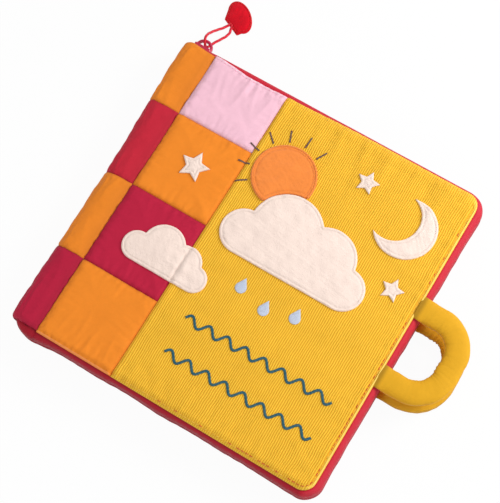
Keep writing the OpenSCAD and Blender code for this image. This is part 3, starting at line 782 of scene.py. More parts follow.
def shade_of_height(x, y):
    """Painted shade: a tone from 0 in the seams and along the topstitch to 1 on the open cloth"""
    from_stitch = cover_depth(x, y) - chosen("stitch_inset")
    near = np.minimum(from_seams(x, y), np.abs(from_stitch) * 1.6 + 0.1)
    return 1 - np.exp(-near / 0.9)


def lip(x, y):
    """1 on the rolled lip outside the topstitch, 0 elsewhere"""
    return bump(cover_depth(x, y) - 0.9, 0.8)


def edge_reach(x, y):
    """How far the cloth is drawn out over the zip along the head edge, beyond the patches"""
    u = x - SEAM_X
    far = 0.4 * smooth_step((u - 46) / 16) + 1.8 * smooth_step((u - 60) / 60)
    return far * smooth_step((y - HEAD_Y + 20) / 20)


PATCH_STEP = 1.0


def front_patches(finishes):
    """The four puffed cotton patches beside the spine seam"""
    kinds = (("pink_patch", "pink"), ("upper_orange_patch", "orange"),
             ("crimson_patch", "crimson"), ("lower_orange_patch", "orange"))
    for i, (name, hue) in enumerate(kinds):
        y0, y1 = patch_ends(i)
        xs = np.linspace(SEAM_X + 0.15, PANEL_X, round(PATCH_W / PATCH_STEP) + 1)
        ys = np.linspace(y0, y1, round((y1 - y0) / PATCH_STEP) + 1)
        x, y = np.meshgrid(xs, ys)
        top = cover_height(x, y)
        # Painted shade in the seams and along the topstitch, and a painted highlight on the rolled lip
        tone = shade_of_height(x, y) + lip(x, y)
        drawn = y + head_pull(x, y, top)[1] + edge_reach(x, y)
        outer, inner = (np.stack([x, drawn, z], -1) for z in (top, np.full_like(x, OUTER_Z)))
        made = cloth_pad(name, outer, inner, tone, finishes[hue], "front_cover",
                         replaces=[f"front_patch_{i + 1}"], slot=f"{hue}_cotton")


WALE_COLUMNS = ((0.0, 0.0), (0.2, 0.78), (0.5, 1.0), (0.8, 0.78))


def corduroy_panel(name, x_from, side, rows, finish, body, replaces):
    """Corduroy with its cords as real ridges, along Y; side is 1 for the front cover and -1 for the back"""
    count = round((FORE_X - x_from) / chosen("wale_pitch"))
    steps = [(i + a, h) for i in range(count) for a, h in WALE_COLUMNS] + [(count, 0.0)]
    along = np.array([s for s, _ in steps]) / count
    crest = np.array([h for _, h in steps])
    xs = x_from + along * (FORE_X - x_from)
    share = np.linspace(-1, 1, rows)
    from_fore = np.clip(xs - (FORE_X - CORNER_R), 0, CORNER_R)
    reach = HEAD_Y - (CORNER_R - np.sqrt(CORNER_R ** 2 - from_fore ** 2))
    x = np.repeat(xs[None, :], rows, 0)
    y = share[:, None] * reach[None, :]
    sway = 0.3 * soft_noise(x * 0.6, y, 34, 21) + 0.12 * soft_noise(x, y, 11, 22)
    calm = smooth_step(np.minimum(x - x_from, FORE_X - x) / 6)
    x = x + sway * calm
    depth = cover_depth(x, y)
    from_stitch = depth - chosen("stitch_inset")
    if side > 0:
        ground = cover_height(x, y)
        shade = shade_of_height(x, y)
    else:
        ground = BOOK_T + rim_roll(depth) + groove(from_stitch, 0.7, 0.4)
        shade = 1 - np.exp(-np.abs(from_stitch) * 1.8 - 0.1)
    wale = chosen("wale_height")
    rolled = lip(x, y)
    press = np.maximum(1 - 0.8 * bump(from_stitch, 0.6) - 0.45 * rolled, 0.15)
    top = ground - wale + wale * crest[None, :] * press
    cords = np.repeat(crest[None, :], rows, 0)
    # Painted light and shade: crests light and the ground between them dark, darker in seams and along the
    # topstitch, with a painted highlight on the rolled lip
    tone = cords * (0.35 + 0.65 * shade) * (1 - rolled) + rolled * (1.1 + 0.9 * cords)
    under = np.full_like(x, OUTER_Z)
    if side > 0:
        y = y + edge_reach(x, y)
    else:
        top, under = BOOK_T - top, BOOK_T - under
        x, y, top, under, tone = (a[:, ::-1] for a in (x, y, top, under, tone))
    outer, inner = (np.stack([x, y, z], -1) for z in (top, under))
    made = cloth_pad(name, outer, inner, tone, finish, body, replaces=replaces, slot="yellow_corduroy")


# The spine

def spine_section(t, y):
    """Depth and height shares of the spine's outer curve, t going from the front seam (0) to the back (1)"""
    a = math.pi / 2 - math.pi * t
    c, s = np.cos(a), np.sin(a)
    power = 2 / 3 - 0.2 * smooth_step((y - 30) / 80) * smooth_step(s * 2)
    return np.abs(c) ** power, np.sign(s) * np.abs(s) ** power


# Folds of the spine's cloth as (round the spine from the front seam, up from the tail), in millimetres
SPINE_FOLDS = [
    (4, 5, 7, 58, 1.6, 0.9, 1.2), (10, 4, 11, 48, 1.4, 0.8, -1.0), (16, 5, 18, 40, 1.6, 0.9, 0.8),
    (22, 4, 24, 30, 1.5, 0.7, 0.5), (3, 66, 10, 92, 1.7, 0.8, 1.0), (14, 64, 16, 86, 1.5, 0.7, 0.6),
    (21, 66, 19, 90, 1.7, 0.8, -0.6), (6, 124, 9, 102, 1.6, 0.8, 0.8), (15, 123, 15, 104, 1.6, 0.7, -0.8),
    (5, 128, 9, 152, 1.6, 0.9, 1.0), (13, 128, 15, 150, 1.4, 0.7, 0.6), (20, 128, 19, 146, 1.5, 0.7, 0.6),
    (7, 188, 8, 168, 1.6, 0.7, 0.8), (17, 188, 14, 170, 1.6, 0.7, 0.8), (5, 192, 9, 214, 1.7, 0.9, 1.0),
    (12, 192, 14, 208, 1.4, 0.8, 0.6), (19, 192, 18, 216, 1.6, 0.8, -0.8), (8, 236, 11, 220, 1.6, 0.7, 0.6),
]


# Length of the cloth round the spine, from the front seam to the back seam
SPINE_ROUND = 64.0
SPINE_COLUMNS = 72


def spine_patches(finishes):
    """The spine's four patches, drawn in and puckered at the seams between them"""
    depth = SEAM_X - SPINE_X
    rise = MID_Z - 0.5
    even = np.linspace(0, 1, SPINE_COLUMNS)
    t = 0.35 * (1 - np.cos(even * math.pi)) / 2 + 0.65 * even
    kinds = (("spine_orange_head", "orange"), ("spine_red", "red"),
             ("spine_orange_middle", "orange"), ("spine_crimson_tail", "crimson"))
    for i, (name, hue) in enumerate(kinds):
        y0, y1 = patch_ends(i)
        y0 = y0 + (1.0 if i == 3 else 0)
        y1 = y1 - (1.0 if i == 0 else 0)
        ys = np.linspace(y0, y1, round((y1 - y0) / 1.1) + 1)
        tt, y = np.meshgrid(t, ys)
        d, h = spine_section(tt, y)
        around, v = tt * SPINE_ROUND, y + HEAD_Y
        near = np.minimum(y - y0, y1 - y)
        at_seam = np.minimum(tt, 1 - tt) * SPINE_ROUND
        # Drawn in and puckered at the seams, and more at the ends of the spine
        swell = -0.5 * np.exp(-(near / 1.2) ** 1.4) - 0.08 * np.exp(-near / 6)
        swell = swell + 0.22 * soft_noise(around, v, 6.5, 31 + i) * np.exp(-near / 5)
        end = (y0 < ROWS[0] + 2) * np.exp(-(y - y0) / 1.6) + (y1 > ROWS[4] - 2) * np.exp(-(y1 - y) / 1.3)
        swell = swell - 1.5 * end
        swell = swell + 0.25 * soft_noise(around, v, 24, 41) + 0.1 * soft_noise(around, v, 9, 43)
        swell = swell + SPINE_PUCKER * puckers(f"spine_{i + 1}", around, y - y0)
        swell = swell + SPINE_FOLD_STRENGTH * sizes().fold_height * folds(around, v, SPINE_FOLDS)
        # Held and tucked in where the spine meets the covers
        swell = swell * smooth_step(at_seam / 3 + 0.1)
        tuck = 1.6 * np.exp(-at_seam / 1.6)
        x = SEAM_X - 0.1 - d * (depth - 0.3 + swell)
        z = below(MID_Z + h * (rise + swell - tuck), BOOK_T - SPINE_DROP)
        x_in = SEAM_X - 0.1 - d * (depth - 2.6 + 0.4 * swell)
        z_in = MID_Z + h * (rise - 2.4)
        dx, dy = head_pull(x, y, z)
        outer, inner = np.stack([x + dx, y + dy, z], -1), np.stack([x_in + dx, y + dy, z_in], -1)
        # Painted shade at the seams between the patches and where the spine meets the covers
        tone = 1 - np.exp(-np.minimum(near, at_seam * 0.42))
        made = cloth_pad(name, outer, inner, tone, finishes[hue], "book_back", flip=True,
                         replaces=[f"spine_patch_{i + 1}"], slot=f"{hue}_cotton")


# The zip

ZIP_STEP = 1.6
TAPE_UPRIGHT = 6.2
TAPE_TOP = 12.6
ZIP_GAP = 1.4
TAIL_R = 13.5
TAIL_RUN = 5.0
TAIL_SWEEP = 62
HEAD_RUN = 22.6
TUCK_LOW = 0.35
SEAM_GAP = 0.06


def bulge(phi):
    """How far the zip stands out where its outward direction is phi degrees"""
    phi = np.asarray(phi, float)
    up = BULGE_FORE + (BULGE_HEAD - BULGE_FORE) * np.clip(phi, 0, 90) / 90
    down = BULGE_FORE + (BULGE_TAIL - BULGE_FORE) * np.clip(-phi, 0, 90) / 90
    return np.where(phi > 0, up, down)


def straight(a, b, phi, step, full0=1.0, full1=1.0):
    """Stations on a straight run, without its last: place, outward direction in degrees and fullness"""
    n = max(2, round(math.dist(a, b) / step))
    t = np.linspace(0, 1, n)[:-1]
    return [[a[0] + (b[0] - a[0]) * k, a[1] + (b[1] - a[1]) * k, phi, full0 + (full1 - full0) * k] for k in t]


def turned(centre, r, a0, a1, steps, full0=1.0, full1=1.0):
    """Stations round a bend, without its last"""
    out = []
    for k in np.linspace(0, 1, steps)[:-1]:
        a = a0 + (a1 - a0) * k
        ca, sa = heading(a)
        out.append([centre[0] + r * ca, centre[1] + r * sa, a, full0 + (full1 - full0) * k])
    return out


def round_three_sides(x0, x1, y1, r, step, bends):
    """Stations from the head end at x0, round two bends at x1, to the tail end at x0"""
    out = straight((x0, y1), (x1 - r, y1), 90, step)
    out += turned((x1 - r, y1 - r), r, 90, 0, bends)
    out += straight((x1, y1 - r), (x1, r - y1), 0, step)
    out += turned((x1 - r, r - y1), r, 0, -90, bends)
    out += straight((x1 - r, -y1), (x0, -y1), -90, step)
    return out + [[x0, -y1, -90, 1.0]]


def zip_path(step, head=False, cover=True, tail=False):
    """Stations along the zip: place, outward direction in degrees, and how full the tape stands"""
    bends = max(8, round(24 / step))
    out = []
    if head:
        out += straight((SEAM_X - HEAD_RUN, HEAD_Y), (SEAM_X - SEAM_GAP, HEAD_Y), 90, step, 0.0, 1.0)
    if cover:
        out += round_three_sides(SEAM_X + SEAM_GAP, FORE_X, HEAD_Y, CORNER_R, step, bends)
    if head and not cover:
        out.append([SEAM_X - SEAM_GAP, HEAD_Y, 90, 1.0])
    if tail:
        start = SEAM_X - TAIL_RUN
        out += straight((SEAM_X - SEAM_GAP, -HEAD_Y), (start, -HEAD_Y), -90, step)
        end = -90 - TAIL_SWEEP
        out += turned((start, TAIL_R - HEAD_Y), TAIL_R, -90, end, bends * 2, 1.0, 0.0)
        ca, sa = heading(end)
        out.append([start + TAIL_R * ca, TAIL_R - HEAD_Y + TAIL_R * sa, end, 0.0])
    return np.array(out, float)


def zip_bulge(path):
    """The tape's outward reach along the path, with the soft waves of sewn cloth"""
    x, y, phi = path[:, 0], path[:, 1], path[:, 2]
    wave = 0.3 * soft_noise(x, y, 38, 51) + 0.12 * soft_noise(x, y, 12, 52)
    corner = bump(np.hypot(x - FORE_X + 4, np.abs(y) - HEAD_Y + 4), 16)
    tail = 2.8 * bump(x - SEAM_X + 8, 18) * (phi < -80)
    still = smooth_step((80 - phi) / 40)
    sewn = wave * (0.15 + 0.85 * still) + 0.7 * corner * still
    return bulge(phi) + sewn * smooth_step(path[:, 3] * 1.5) + tail


def teeth_recess(phi):
    """How far the teeth lie back between the two tapes; nothing along the slider's run"""
    return 1.2 * smooth_step((70 - phi) / 50)


def tape_rings(path, side):
    """Cross-sections of the tape: from under the cover, over a round shoulder, and upright to the teeth"""
    t = np.linspace(0, 1, 9)
    rings = []
    for (x, y, phi, full), b in zip(path, zip_bulge(path)):
        back = teeth_recess(phi)
        top = TAPE_UPRIGHT + (TAPE_TOP - TAPE_UPRIGHT) * (TUCK_LOW + (1 - TUCK_LOW) * full)
        start, knee, end = (0.0, top), (b * 0.98, top - 0.1), (b, TAPE_UPRIGHT - 1.8)
        d, h = ((1 - t) ** 2 * p + 2 * t * (1 - t) * q + t * t * r for p, q, r in zip(start, knee, end))
        teeth = [b - 0.05 - back * 0.5, b - 0.1 - back, b - 0.1 - back]
        d = np.concatenate([[-3.6 * max(full, 0.05)], d, teeth])
        h = np.concatenate([[top], h, [2.4, 1.5, ZIP_GAP / 2]])
        thick = np.full(len(d), TAPE_T / 2)
        thick[-3:] = [0.4, 0.62, 0.55]
        slope = np.stack([np.gradient(d), np.gradient(h)], -1)
        slope /= np.linalg.norm(slope, axis=1)[:, None]
        out = np.stack([d - thick * slope[:, 1], h + thick * slope[:, 0]], -1)
        inn = np.stack([d + thick * slope[:, 1], h - thick * slope[:, 0]], -1)
        ring = np.concatenate([out, inn[::-1]])
        ca, sa = heading(phi)
        points = np.stack([x + ring[:, 0] * ca, y + ring[:, 0] * sa, MID_Z + side * ring[:, 1]], -1)
        rings.append(points if side > 0 else points[::-1])
    return rings


def tape_tone(path, side):
    """Painted light and shade: pale on the shoulder, plain where upright, dark where it tucks in, at the teeth
    and on the inner face, deep along the tail and a little darker along the head
    """
    across = np.array([0.1, 0.3, 0.85, 1.0, 1.0, 0.85, 0.65, 0.5, 0.45, 0.4, 0.25, 0.05, 0.0])
    ring = np.concatenate([across, across[::-1] * 0.6])
    # Painted shade: deep along the tail and a little along the head
    share = 1 - 0.72 * smooth_step((-50 - path[:, 2]) / 30) - 0.15 * smooth_step((path[:, 2] - 60) / 20)
    return share[:, None] * (ring if side > 0 else ring[::-1])[None, :]


def zip_tape(name, path, side, finish, body, replaces):
    return tube(name, tape_rings(path, side), finish, body, tone=tape_tone(path, side),
                replaces=replaces, slot="zip_tape")


# One loop of the coil as how far in from the tape's edge and how far up from the middle
COIL_R = 0.27
COIL_TURNS = [(0.55, 0.1), (0.9, 1.15), (2.0, 1.3), (2.6, 0.75), (2.3, 0.1), (1.2, -0.12)]


def zip_coil(name, path, side, finish, body, replaces):
    """The coil: one nylon loop after another behind the tape's edge, a little apart where the slider runs"""
    pitch = chosen("coil_pitch")
    run = run_along(path[:, :2])
    reach = zip_bulge(path) - teeth_recess(path[:, 2])
    points, faces = [], []
    for k in range(int(run[-1] / pitch)):
        x, y, phi, b = spots_at((k + 0.5) * pitch, run, np.column_stack([path[:, :3], reach]))
        ca, sa = heading(phi)
        faces += tube_faces(len(COIL_TURNS), 4, len(points))
        apart = float(smooth_step((phi - 75) / 12))
        for j, (inward, up) in enumerate(COIL_TURNS):
            lean = pitch * (0.16 if j in (1, 2, 3) else -0.16)
            middle = np.array([
                x + (b - inward) * ca + lean * sa, y + (b - inward) * sa - lean * ca,
                MID_Z + side * (0.15 + up * (1 - 0.2 * apart) + 0.85 * apart),
            ])
            for du, dz in ((COIL_R, 0), (0, COIL_R), (-COIL_R, 0), (0, -COIL_R)):
                points.append(middle + [du * sa, -du * ca, dz])
    return piece(name, points, faces, finish, body, replaces, "zip_coil")


# The slider, its cord and its tab

def softened(name, node, width_mm, finish, body):
    """A copy of a rigid node with its edges rounded, which stands in its place"""
    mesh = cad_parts[node].data.copy()
    mesh.name = name
    made = linked(name, mesh)
    mesh.materials.clear()
    mesh.materials.append(finish)
    weld = made.modifiers.new("weld", "WELD")
    weld.merge_threshold = 0.00001
    edge = made.modifiers.new("edge", "BEVEL")
    edge.width = width_mm * MM
    edge.segments = 3
    edge.limit_method = "ANGLE"
    edge.angle_limit = math.radians(35)
    edge.use_clamp_overlap = True
    mesh.shade_smooth()
    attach(made, body)
    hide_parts(node)
    return made


# The cord's route, as offsets from the middle of the bridge's foot and heights above the surface
CORD_ROUTE = [
    (3.4, 33, 1.8), (1.8, 30.2, 1.8), (0.4, 27.2, 2.5), (-1.2, 23.6, 4.6), (-2.6, 19.2, 8.4), (-3.2, 14.6, 13),
    (-3, 10.4, 17.6), (-2.2, 7, 20.3), (-1.2, 4.2, 19.6), (-0.3, 2.6, 16.6), (0.4, 2.9, 13.2),
    (1.1, 5.1, 10.6), (2.1, 8.7, 9.6), (3.6, 13, 8.2), (5.2, 17.6, 6), (6.2, 22, 3.8), (6.2, 25.8, 2.3),
    (5.2, 29.4, 1.8), (4.6, 32.6, 1.8),
]
CORD_D = 2.2
BRIDGE_REACH = 6.9
CORD_STRANDS = 3
CORD_TWIST = 0.9
CORD_STEP = 0.45
CORD_SIDES = 18


def bridge_foot():
    lo, hi = low("zip_slider"), high("zip_slider")
    return np.array([(lo.x + hi.x) / 2, hi.y - BRIDGE_REACH, 0.0])


def rounded_route(points, step):
    """A smooth curve through points, with a point every step"""
    p = np.asarray(points, float)
    p = np.concatenate([[2 * p[0] - p[1]], p, [2 * p[-1] - p[-2]]])
    out = []
    for k in range(1, len(p) - 2):
        for t in np.linspace(0, 1, 12, endpoint=False):
            a, b, c, d = p[k - 1:k + 3]
            out.append(0.5 * (2 * b + (c - a) * t + (2 * a - 5 * b + 4 * c - d) * t ** 2
                              + (3 * b - a - 3 * c + d) * t ** 3))
    out.append(p[-2])
    out = np.array(out)
    run = run_along(out)
    return spots_at(np.linspace(0, run[-1], max(2, round(run[-1] / step) + 1)), run, out)


def ringed(path, radius):
    """Rings of points round a path, turned evenly along it; radius is a function of ring number and angle"""
    tangent = np.gradient(path, axis=0)
    tangent /= np.linalg.norm(tangent, axis=1)[:, None]
    side = np.cross(tangent[0], [0, 0, 1.0])
    side /= np.linalg.norm(side)
    rings = []
    for k, (p, t) in enumerate(zip(path, tangent)):
        side = side - t * np.dot(side, t)
        side /= np.linalg.norm(side)
        up = np.cross(side, t)
        rings.append([p + r * (math.cos(a) * side + math.sin(a) * up) for a, r in radius(k)])
    return np.array(rings)


def pull_cord(finish):
    """A loop of three-strand cord from the tab, through the slider's bridge and back"""
    path = rounded_route(bridge_foot() + np.array(CORD_ROUTE), CORD_STEP)
    angles = np.linspace(0, TWO_PI, CORD_SIDES, endpoint=False)

    def crest(k, a):
        return math.cos(CORD_STRANDS * a + CORD_TWIST * k * CORD_STEP)

    def strand(k):
        return [(a, CORD_D / 2 * (0.93 + 0.07 * crest(k, a))) for a in angles]

    # Painted highlights on the strands' crests and painted shade in the grooves between them
    tone = [[0.5 + 0.5 * crest(k, a) for a in angles] for k in range(len(path))]
    made = tube("twisted_cord", ringed(path, strand), finish, "slider", tone=tone,
                replaces=["pull_cord"], slot="red_cord")


# Cut shapes

def inside_distance(points, outline):
    """Distance of each point from an outline, positive inside it"""
    best = np.full(len(points), 1e9)
    inside = np.zeros(len(points), bool)
    for (x0, y0), (x1, y1) in zip(outline, np.roll(outline, -1, 0)):
        ex, ey = x1 - x0, y1 - y0
        px, py = points[:, 0] - x0, points[:, 1] - y0
        t = np.clip((px * ex + py * ey) / (ex * ex + ey * ey + 1e-12), 0, 1)
        best = np.minimum(best, np.hypot(px - t * ex, py - t * ey))
        crosses = (y0 > points[:, 1]) != (y1 > points[:, 1])
        with np.errstate(divide="ignore", invalid="ignore"):
            cut = ex * (points[:, 1] - y0) / (y1 - y0) + x0
        inside ^= crosses & (points[:, 0] < cut)
    return np.where(inside, best, -best)


def evenly(outline, step):
    """The outline with a point every step or so"""
    closed = np.concatenate([outline, outline[:1]])
    run = run_along(closed)
    return spots_at(np.linspace(0, run[-1], max(8, round(run[-1] / step)), endpoint=False), run, closed)


def cut_out(name, outline, step, top, under, finish, body, tone=None, edge_rows=(), **words):
    """A closed piece of any outline; top, under and tone are functions of the points and their depth inside"""
    rim = evenly(np.asarray(outline, float), step)
    lo, hi = rim.min(0), rim.max(0)
    gx, gy = np.meshgrid(np.arange(lo[0], hi[0], step), np.arange(lo[1], hi[1], step * 0.866))
    gx[1::2] += step / 2
    inner = np.stack([gx.ravel(), gy.ravel()], -1)
    ahead = np.roll(rim, -1, 0) - np.roll(rim, 1, 0)
    inward = np.stack([-ahead[:, 1], ahead[:, 0]], -1) / np.linalg.norm(ahead, axis=1)[:, None]
    turns = np.sum(rim[:, 0] * np.roll(rim[:, 1], -1) - np.roll(rim[:, 0], -1) * rim[:, 1])
    inward *= np.sign(turns)
    rows = []
    for inset in edge_rows:
        row = rim + inward * inset
        rows.append(row[inside_distance(row, rim) > inset * 0.93])
    last = max(edge_rows, default=0)
    inner = inner[inside_distance(inner, rim) > last + step * 0.55]
    flat = np.concatenate([rim, *rows, inner])
    # The net's points, its triangles, and for each point which of the given ones it was
    loop = list(range(len(rim)))
    net, _, triangles, origin, *_ = delaunay_2d_cdt([Vector(p) for p in flat], [], [loop], 1, 1e-5)
    flat = np.array([tuple(v) for v in net])
    edge = {i: o[0] for i, o in enumerate(origin) if o and o[0] < len(rim)}
    order = sorted(edge, key=edge.get)
    depth = np.maximum(inside_distance(flat, rim), 0)
    depth[order] = 0
    upper = np.column_stack([flat, top(flat, depth)])
    lower = np.column_stack([flat, under(flat, depth)])
    m = len(flat)
    faces = [tuple(f) for f in triangles] + [tuple(m + i for i in f[::-1]) for f in triangles]
    faces += closing(order, m)
    if tone is not None:
        tone = np.concatenate([tone(flat, depth), np.full(m, INNER_SHADE_TONE)])
    return piece(name, np.concatenate([upper, lower]), faces, finish, body, tone=tone, **words)


def round_edge(depth, radius):
    """Drop of a rounded edge of that radius at that distance inside it"""
    t = np.clip(1 - depth / radius, 0, 1)
    return radius * (1 - np.sqrt(1 - t * t))


def noise_at(p, size, seed):
    return soft_noise(p[:, 0], p[:, 1], size, seed)


def level(z):
    """A flat side of a cut piece, at that height"""
    return lambda p, d: np.full(len(p), z)


def sewn_line(inside, width, dark):
    """Tone of a cut piece that is painted darker along a seam at that distance inside its edge, as the shade in
    the seam's groove
    """
    return lambda p, d: 1 - dark * bump(d - inside, width)


def arc(centre, r, a0, a1, steps):
    """Points of a circle's arc, its angles in degrees"""
    a = np.radians(np.linspace(a0, a1, steps))
    return [(centre[0] + r * math.cos(k), centre[1] + r * math.sin(k)) for k in a]


TAB_L = 28.2
TAB_W = 17.4
TAB_END_W = 16.6
TAB_TURN = -25
TAB_PLACE = (4.4, 30)
TAB_LEAN = -16
# Height of the seam between the tab's layers, and how far inside the edge it is sewn
TAB_LAYER = 1.8
TAB_SEAM_IN = 1.5


def tab_outline():
    """The tab: an egg-shaped end on a straight foot, turned to lie as the cord leaves it"""
    points = [(-TAB_END_W / 2, 0.0), (TAB_END_W / 2, 0.0)]
    cl, sl = heading(TAB_LEAN)
    for a in np.radians(np.linspace(-20, 230, 50)):
        u, v = TAB_L / 2 * math.cos(a), TAB_W / 2 * math.sin(a)
        points.append((u * cl - v * sl - TAB_L * 0.1, u * sl + v * cl + TAB_W * 0.6))
    ct, st = heading(TAB_TURN)
    spin = np.array([[ct, -st], [st, ct]])
    foot = bridge_foot()[:2] + np.array(TAB_PLACE)
    return np.array(points) @ spin.T + foot


def tab_layers(finish):
    """Two layers of velour, puffed in the middle and sewn flat round the edge"""
    outline = tab_outline()
    # Painted shade along the seam round the tab's edge
    mottled_crest_and_seam_shade = sewn_line(TAB_SEAM_IN, 0.45, 0.8)

    def crown(p, d):
        puff = 1.35 * (1 - np.exp(-d / 2.2)) + 0.35 * smooth_step((d - 1.2) / 6)
        return TAB_LAYER + 0.25 + puff + groove(d - TAB_SEAM_IN, 0.5, 0.5) + 0.08 * noise_at(p, 5, 61)

    def base(p, d):
        return np.clip(TAB_LAYER - 0.3 - 1.3 * (1 - np.exp(-d / 1.5)), 0.02, None)

    upper = cut_out("tab_front_layer", outline, 0.75, crown, level(TAB_LAYER), finish, "slider", tone=mottled_crest_and_seam_shade,
                    replaces=["pull_tab_upper"], slot="red_velour")
    lower = cut_out("tab_back_layer", outline, 0.9, level(TAB_LAYER), base, finish, "slider", tone=mottled_crest_and_seam_shade,
                    replaces=["pull_tab_lower"], slot="red_velour")
    return [upper, lower]


# The carrying loops

BAND_W = 17.6
BAND_T = 9.4
BAND_END_T = 2.4
BAND_FILL = 10.0
LOOP_REACH = high("loop_front").x - FORE_X
LOOP_H = high("loop_front").y - low("loop_front").y
LOOP_BEND_R = 22.0
LOOP_SEWN_IN = 1.5
LOOP_SIDES = 44


def loop_centreline(step):
    """Stations along the band's middle line, measured from the fore edge"""
    x1, y1 = LOOP_REACH - BAND_W / 2, LOOP_H / 2 - BAND_W / 2
    return np.array(round_three_sides(-LOOP_SEWN_IN, x1, y1, LOOP_BEND_R, step, round(35 / step)))


def carrying_loop(name, side, finish, body, node):
    """A padded band: flat where it is sewn in, gathered inside its bends, with a seam along its outer edge"""
    path = loop_centreline(0.9)
    loop_y = (high(node).y + low(node).y) / 2
    rings, tones = [], []
    run = run_along(path[:, :2])
    a = np.linspace(0, TWO_PI, LOOP_SIDES, endpoint=False)
    c, s = np.cos(a), np.sin(a)
    mid_full = MID_Z - BAND_T / 2 - 0.1
    mid_end = MID_Z - 3 + BAND_END_T / 2 + 0.05
    for k, (x, y, phi, _) in enumerate(path):
        fill = float(smooth_step(x / BAND_FILL)) if abs(abs(phi) - 90) < 0.01 else 1.0
        half_t = (BAND_END_T + (BAND_T - BAND_END_T) * fill) / 2
        middle = mid_end + (mid_full - mid_end) * fill
        inner = np.clip(-c, 0, 1)
        bend = 1.0 if abs(phi) < 89.9 else 0.7
        place = run[k] + 1.4 * (a - math.pi)
        share = 0.65 + 0.35 * math.sin(run[k] / 9.0 + side)
        pleats = 0.3 * soft_noise(place, 0 * a, 3.6, 73 + side) + 0.12 * soft_noise(place, a, 1.9, 75 + side)
        gather = share * pleats * (0.25 + 0.75 * inner ** 1.5) * bend * fill
        drape = 0.14 * soft_noise(run[k] + 0 * a, a * 6, 13, 71 + side) * fill
        seam = groove(s + 0.12 * side, 0.1, 0.45) * (c > 0) + groove(s, 0.12, 0.3) * (c < 0)
        grow = gather + drape + seam * fill
        w = BAND_W / 2 * np.sign(c) * np.abs(c) ** 0.85 + grow * c
        t = half_t * np.sign(s) * np.abs(s) ** 0.8 + grow * s * 0.8
        ca, sa = heading(phi)
        rings.append(np.stack([FORE_X + x + w * ca, loop_y + y + w * sa, MID_Z + side * middle + t], -1))
        # Painted shade, from here to the tone: darker where the band goes into the cover, in its inner gathers
        # and along its seams
        sewn = 0.0 if x < 0.6 else float(smooth_step((x - 0.4) / 4.0))
        tones.append(np.clip(0.05 + 0.95 * sewn + 1.1 * np.minimum(gather, 0) + seam, 0, 1))
    made = tube(name, rings, finish, body, tone=tones, replaces=[node], slot="gold_cotton")


# Pages and linings

def leaf_outline(x0, x1, y1, r_bound, r_fore):
    """A rectangle with one radius at its bound corners and one at its fore corners"""
    corners = ((x0, -1, r_bound, 180), (x1, -1, r_fore, 270), (x1, 1, r_fore, 0), (x0, 1, r_bound, 90))
    out = []
    for x, end, r, a in corners:
        out += arc((x + r if x == x0 else x - r, end * (y1 - r)), r, a, a + 90, 8)
    return np.array(out)


PAGE_COUNT = 5
PAGE_R = 12
PAGE_GAP = 0.35
PAGE_EDGE_R = 1.7
PAGE_SEAM_IN = 5
LINING_SEAM_IN = 3


def page_leaves(finish):
    """Padded cloth leaves, each sewn flat round its edge"""
    lo, hi = low("page_block"), high("page_block")
    step = (hi.z - lo.z) / PAGE_COUNT
    half = MID_Z - 2.9
    for i in range(PAGE_COUNT):
        z0, z1 = lo.z + i * step + PAGE_GAP / 2, lo.z + (i + 1) * step - PAGE_GAP / 2
        away = max(abs(z0 - MID_Z), abs(z1 - MID_Z)) / half
        x0 = SEAM_X - (SEAM_X - lo.x) * (1 - min(away, 0.95) ** 3) ** (1 / 3)
        outline = leaf_outline(x0, hi.x - 0.25 * (i % 2), hi.y - 0.2 * (i % 3), PAGE_R, PAGE_R)

        def top(p, d, z1=z1, i=i):
            puff = np.minimum(0.18 * noise_at(p, 40, 80 + i), 0.18)
            return z1 - 0.2 - round_edge(d, PAGE_EDGE_R) + groove(d - PAGE_SEAM_IN, 1.0, 0.5) + puff

        def under(p, d, z0=z0):
            return z0 + 0.05 + round_edge(d, PAGE_EDGE_R)

        # The leaf's tone paints shade along its seam
        leaf = cut_out(f"cloth_leaf_{i + 1}", outline, 3.0, top, under, finish, "book_back",
                       tone=sewn_line(PAGE_SEAM_IN, 0.7, 0.6), replaces=["page_block"], slot="cream_cotton",
                       edge_rows=(0.25, 0.7, 1.3, 2.2, 3.6, 4.4, 5.0, 5.6, 6.4))


def cover_lining(name, node, side, finish, body):
    """A lining, turned under and sewn down near its edge"""
    lo, hi = low(node), high(node)
    outline = leaf_outline(lo.x, hi.x, hi.y, 0.6, CORNER_R - 1.5)
    puff = (hi.z - lo.z) * 0.35
    inner_z, outer_z = (lo.z + 0.25, hi.z) if side > 0 else (hi.z - 0.25, lo.z)

    def inner(p, d):
        wave = groove(d - LINING_SEAM_IN, 0.8, 0.35) + puff * 0.5 * noise_at(p, 30, 91)
        return inner_z - side * np.clip(wave, -0.35, 0.2) + side * round_edge(d, 0.5)

    top, under = (level(outer_z), inner) if side > 0 else (inner, level(outer_z))
    # The lining's tone paints shade along its seam
    made = cut_out(name, outline, 3.0, top, under, finish, body, tone=sewn_line(LINING_SEAM_IN, 0.7, 0.5),
                   replaces=[node], slot="cream_cotton")


def cover_wadding(name, node, finish, body):
    """The soft filling between a cover's cloth and its lining"""
    lo, hi = low(node), high(node)
    outline = leaf_outline(lo.x + 0.2, hi.x - 0.2, hi.y - 0.2, 0.8, CORNER_R - 1)

    def top(p, d):
        return hi.z - 0.12 - round_edge(d, 0.8) + 0.08 * noise_at(p, 14, 95)

    def under(p, d):
        return lo.z + 0.12 + round_edge(d, 0.8) + 0.08 * noise_at(p, 14, 97)

    made = cut_out(name, outline, 4.0, top, under, finish, body, edge_rows=(0.2, 0.5, 1.0), replaces=[node],
                   slot="wadding")


# Stitches

STITCH_GAP = 0.8
STITCH_SIDES = 6
# A stitch from end to end: share of its length, of its thickness and of its height
STITCH_RINGS = [(0.0, 0.45, -0.1), (0.2, 0.85, 0.6), (0.5, 1.0, 1.0), (0.8, 0.85, 0.6), (1.0, 0.45, -0.1)]


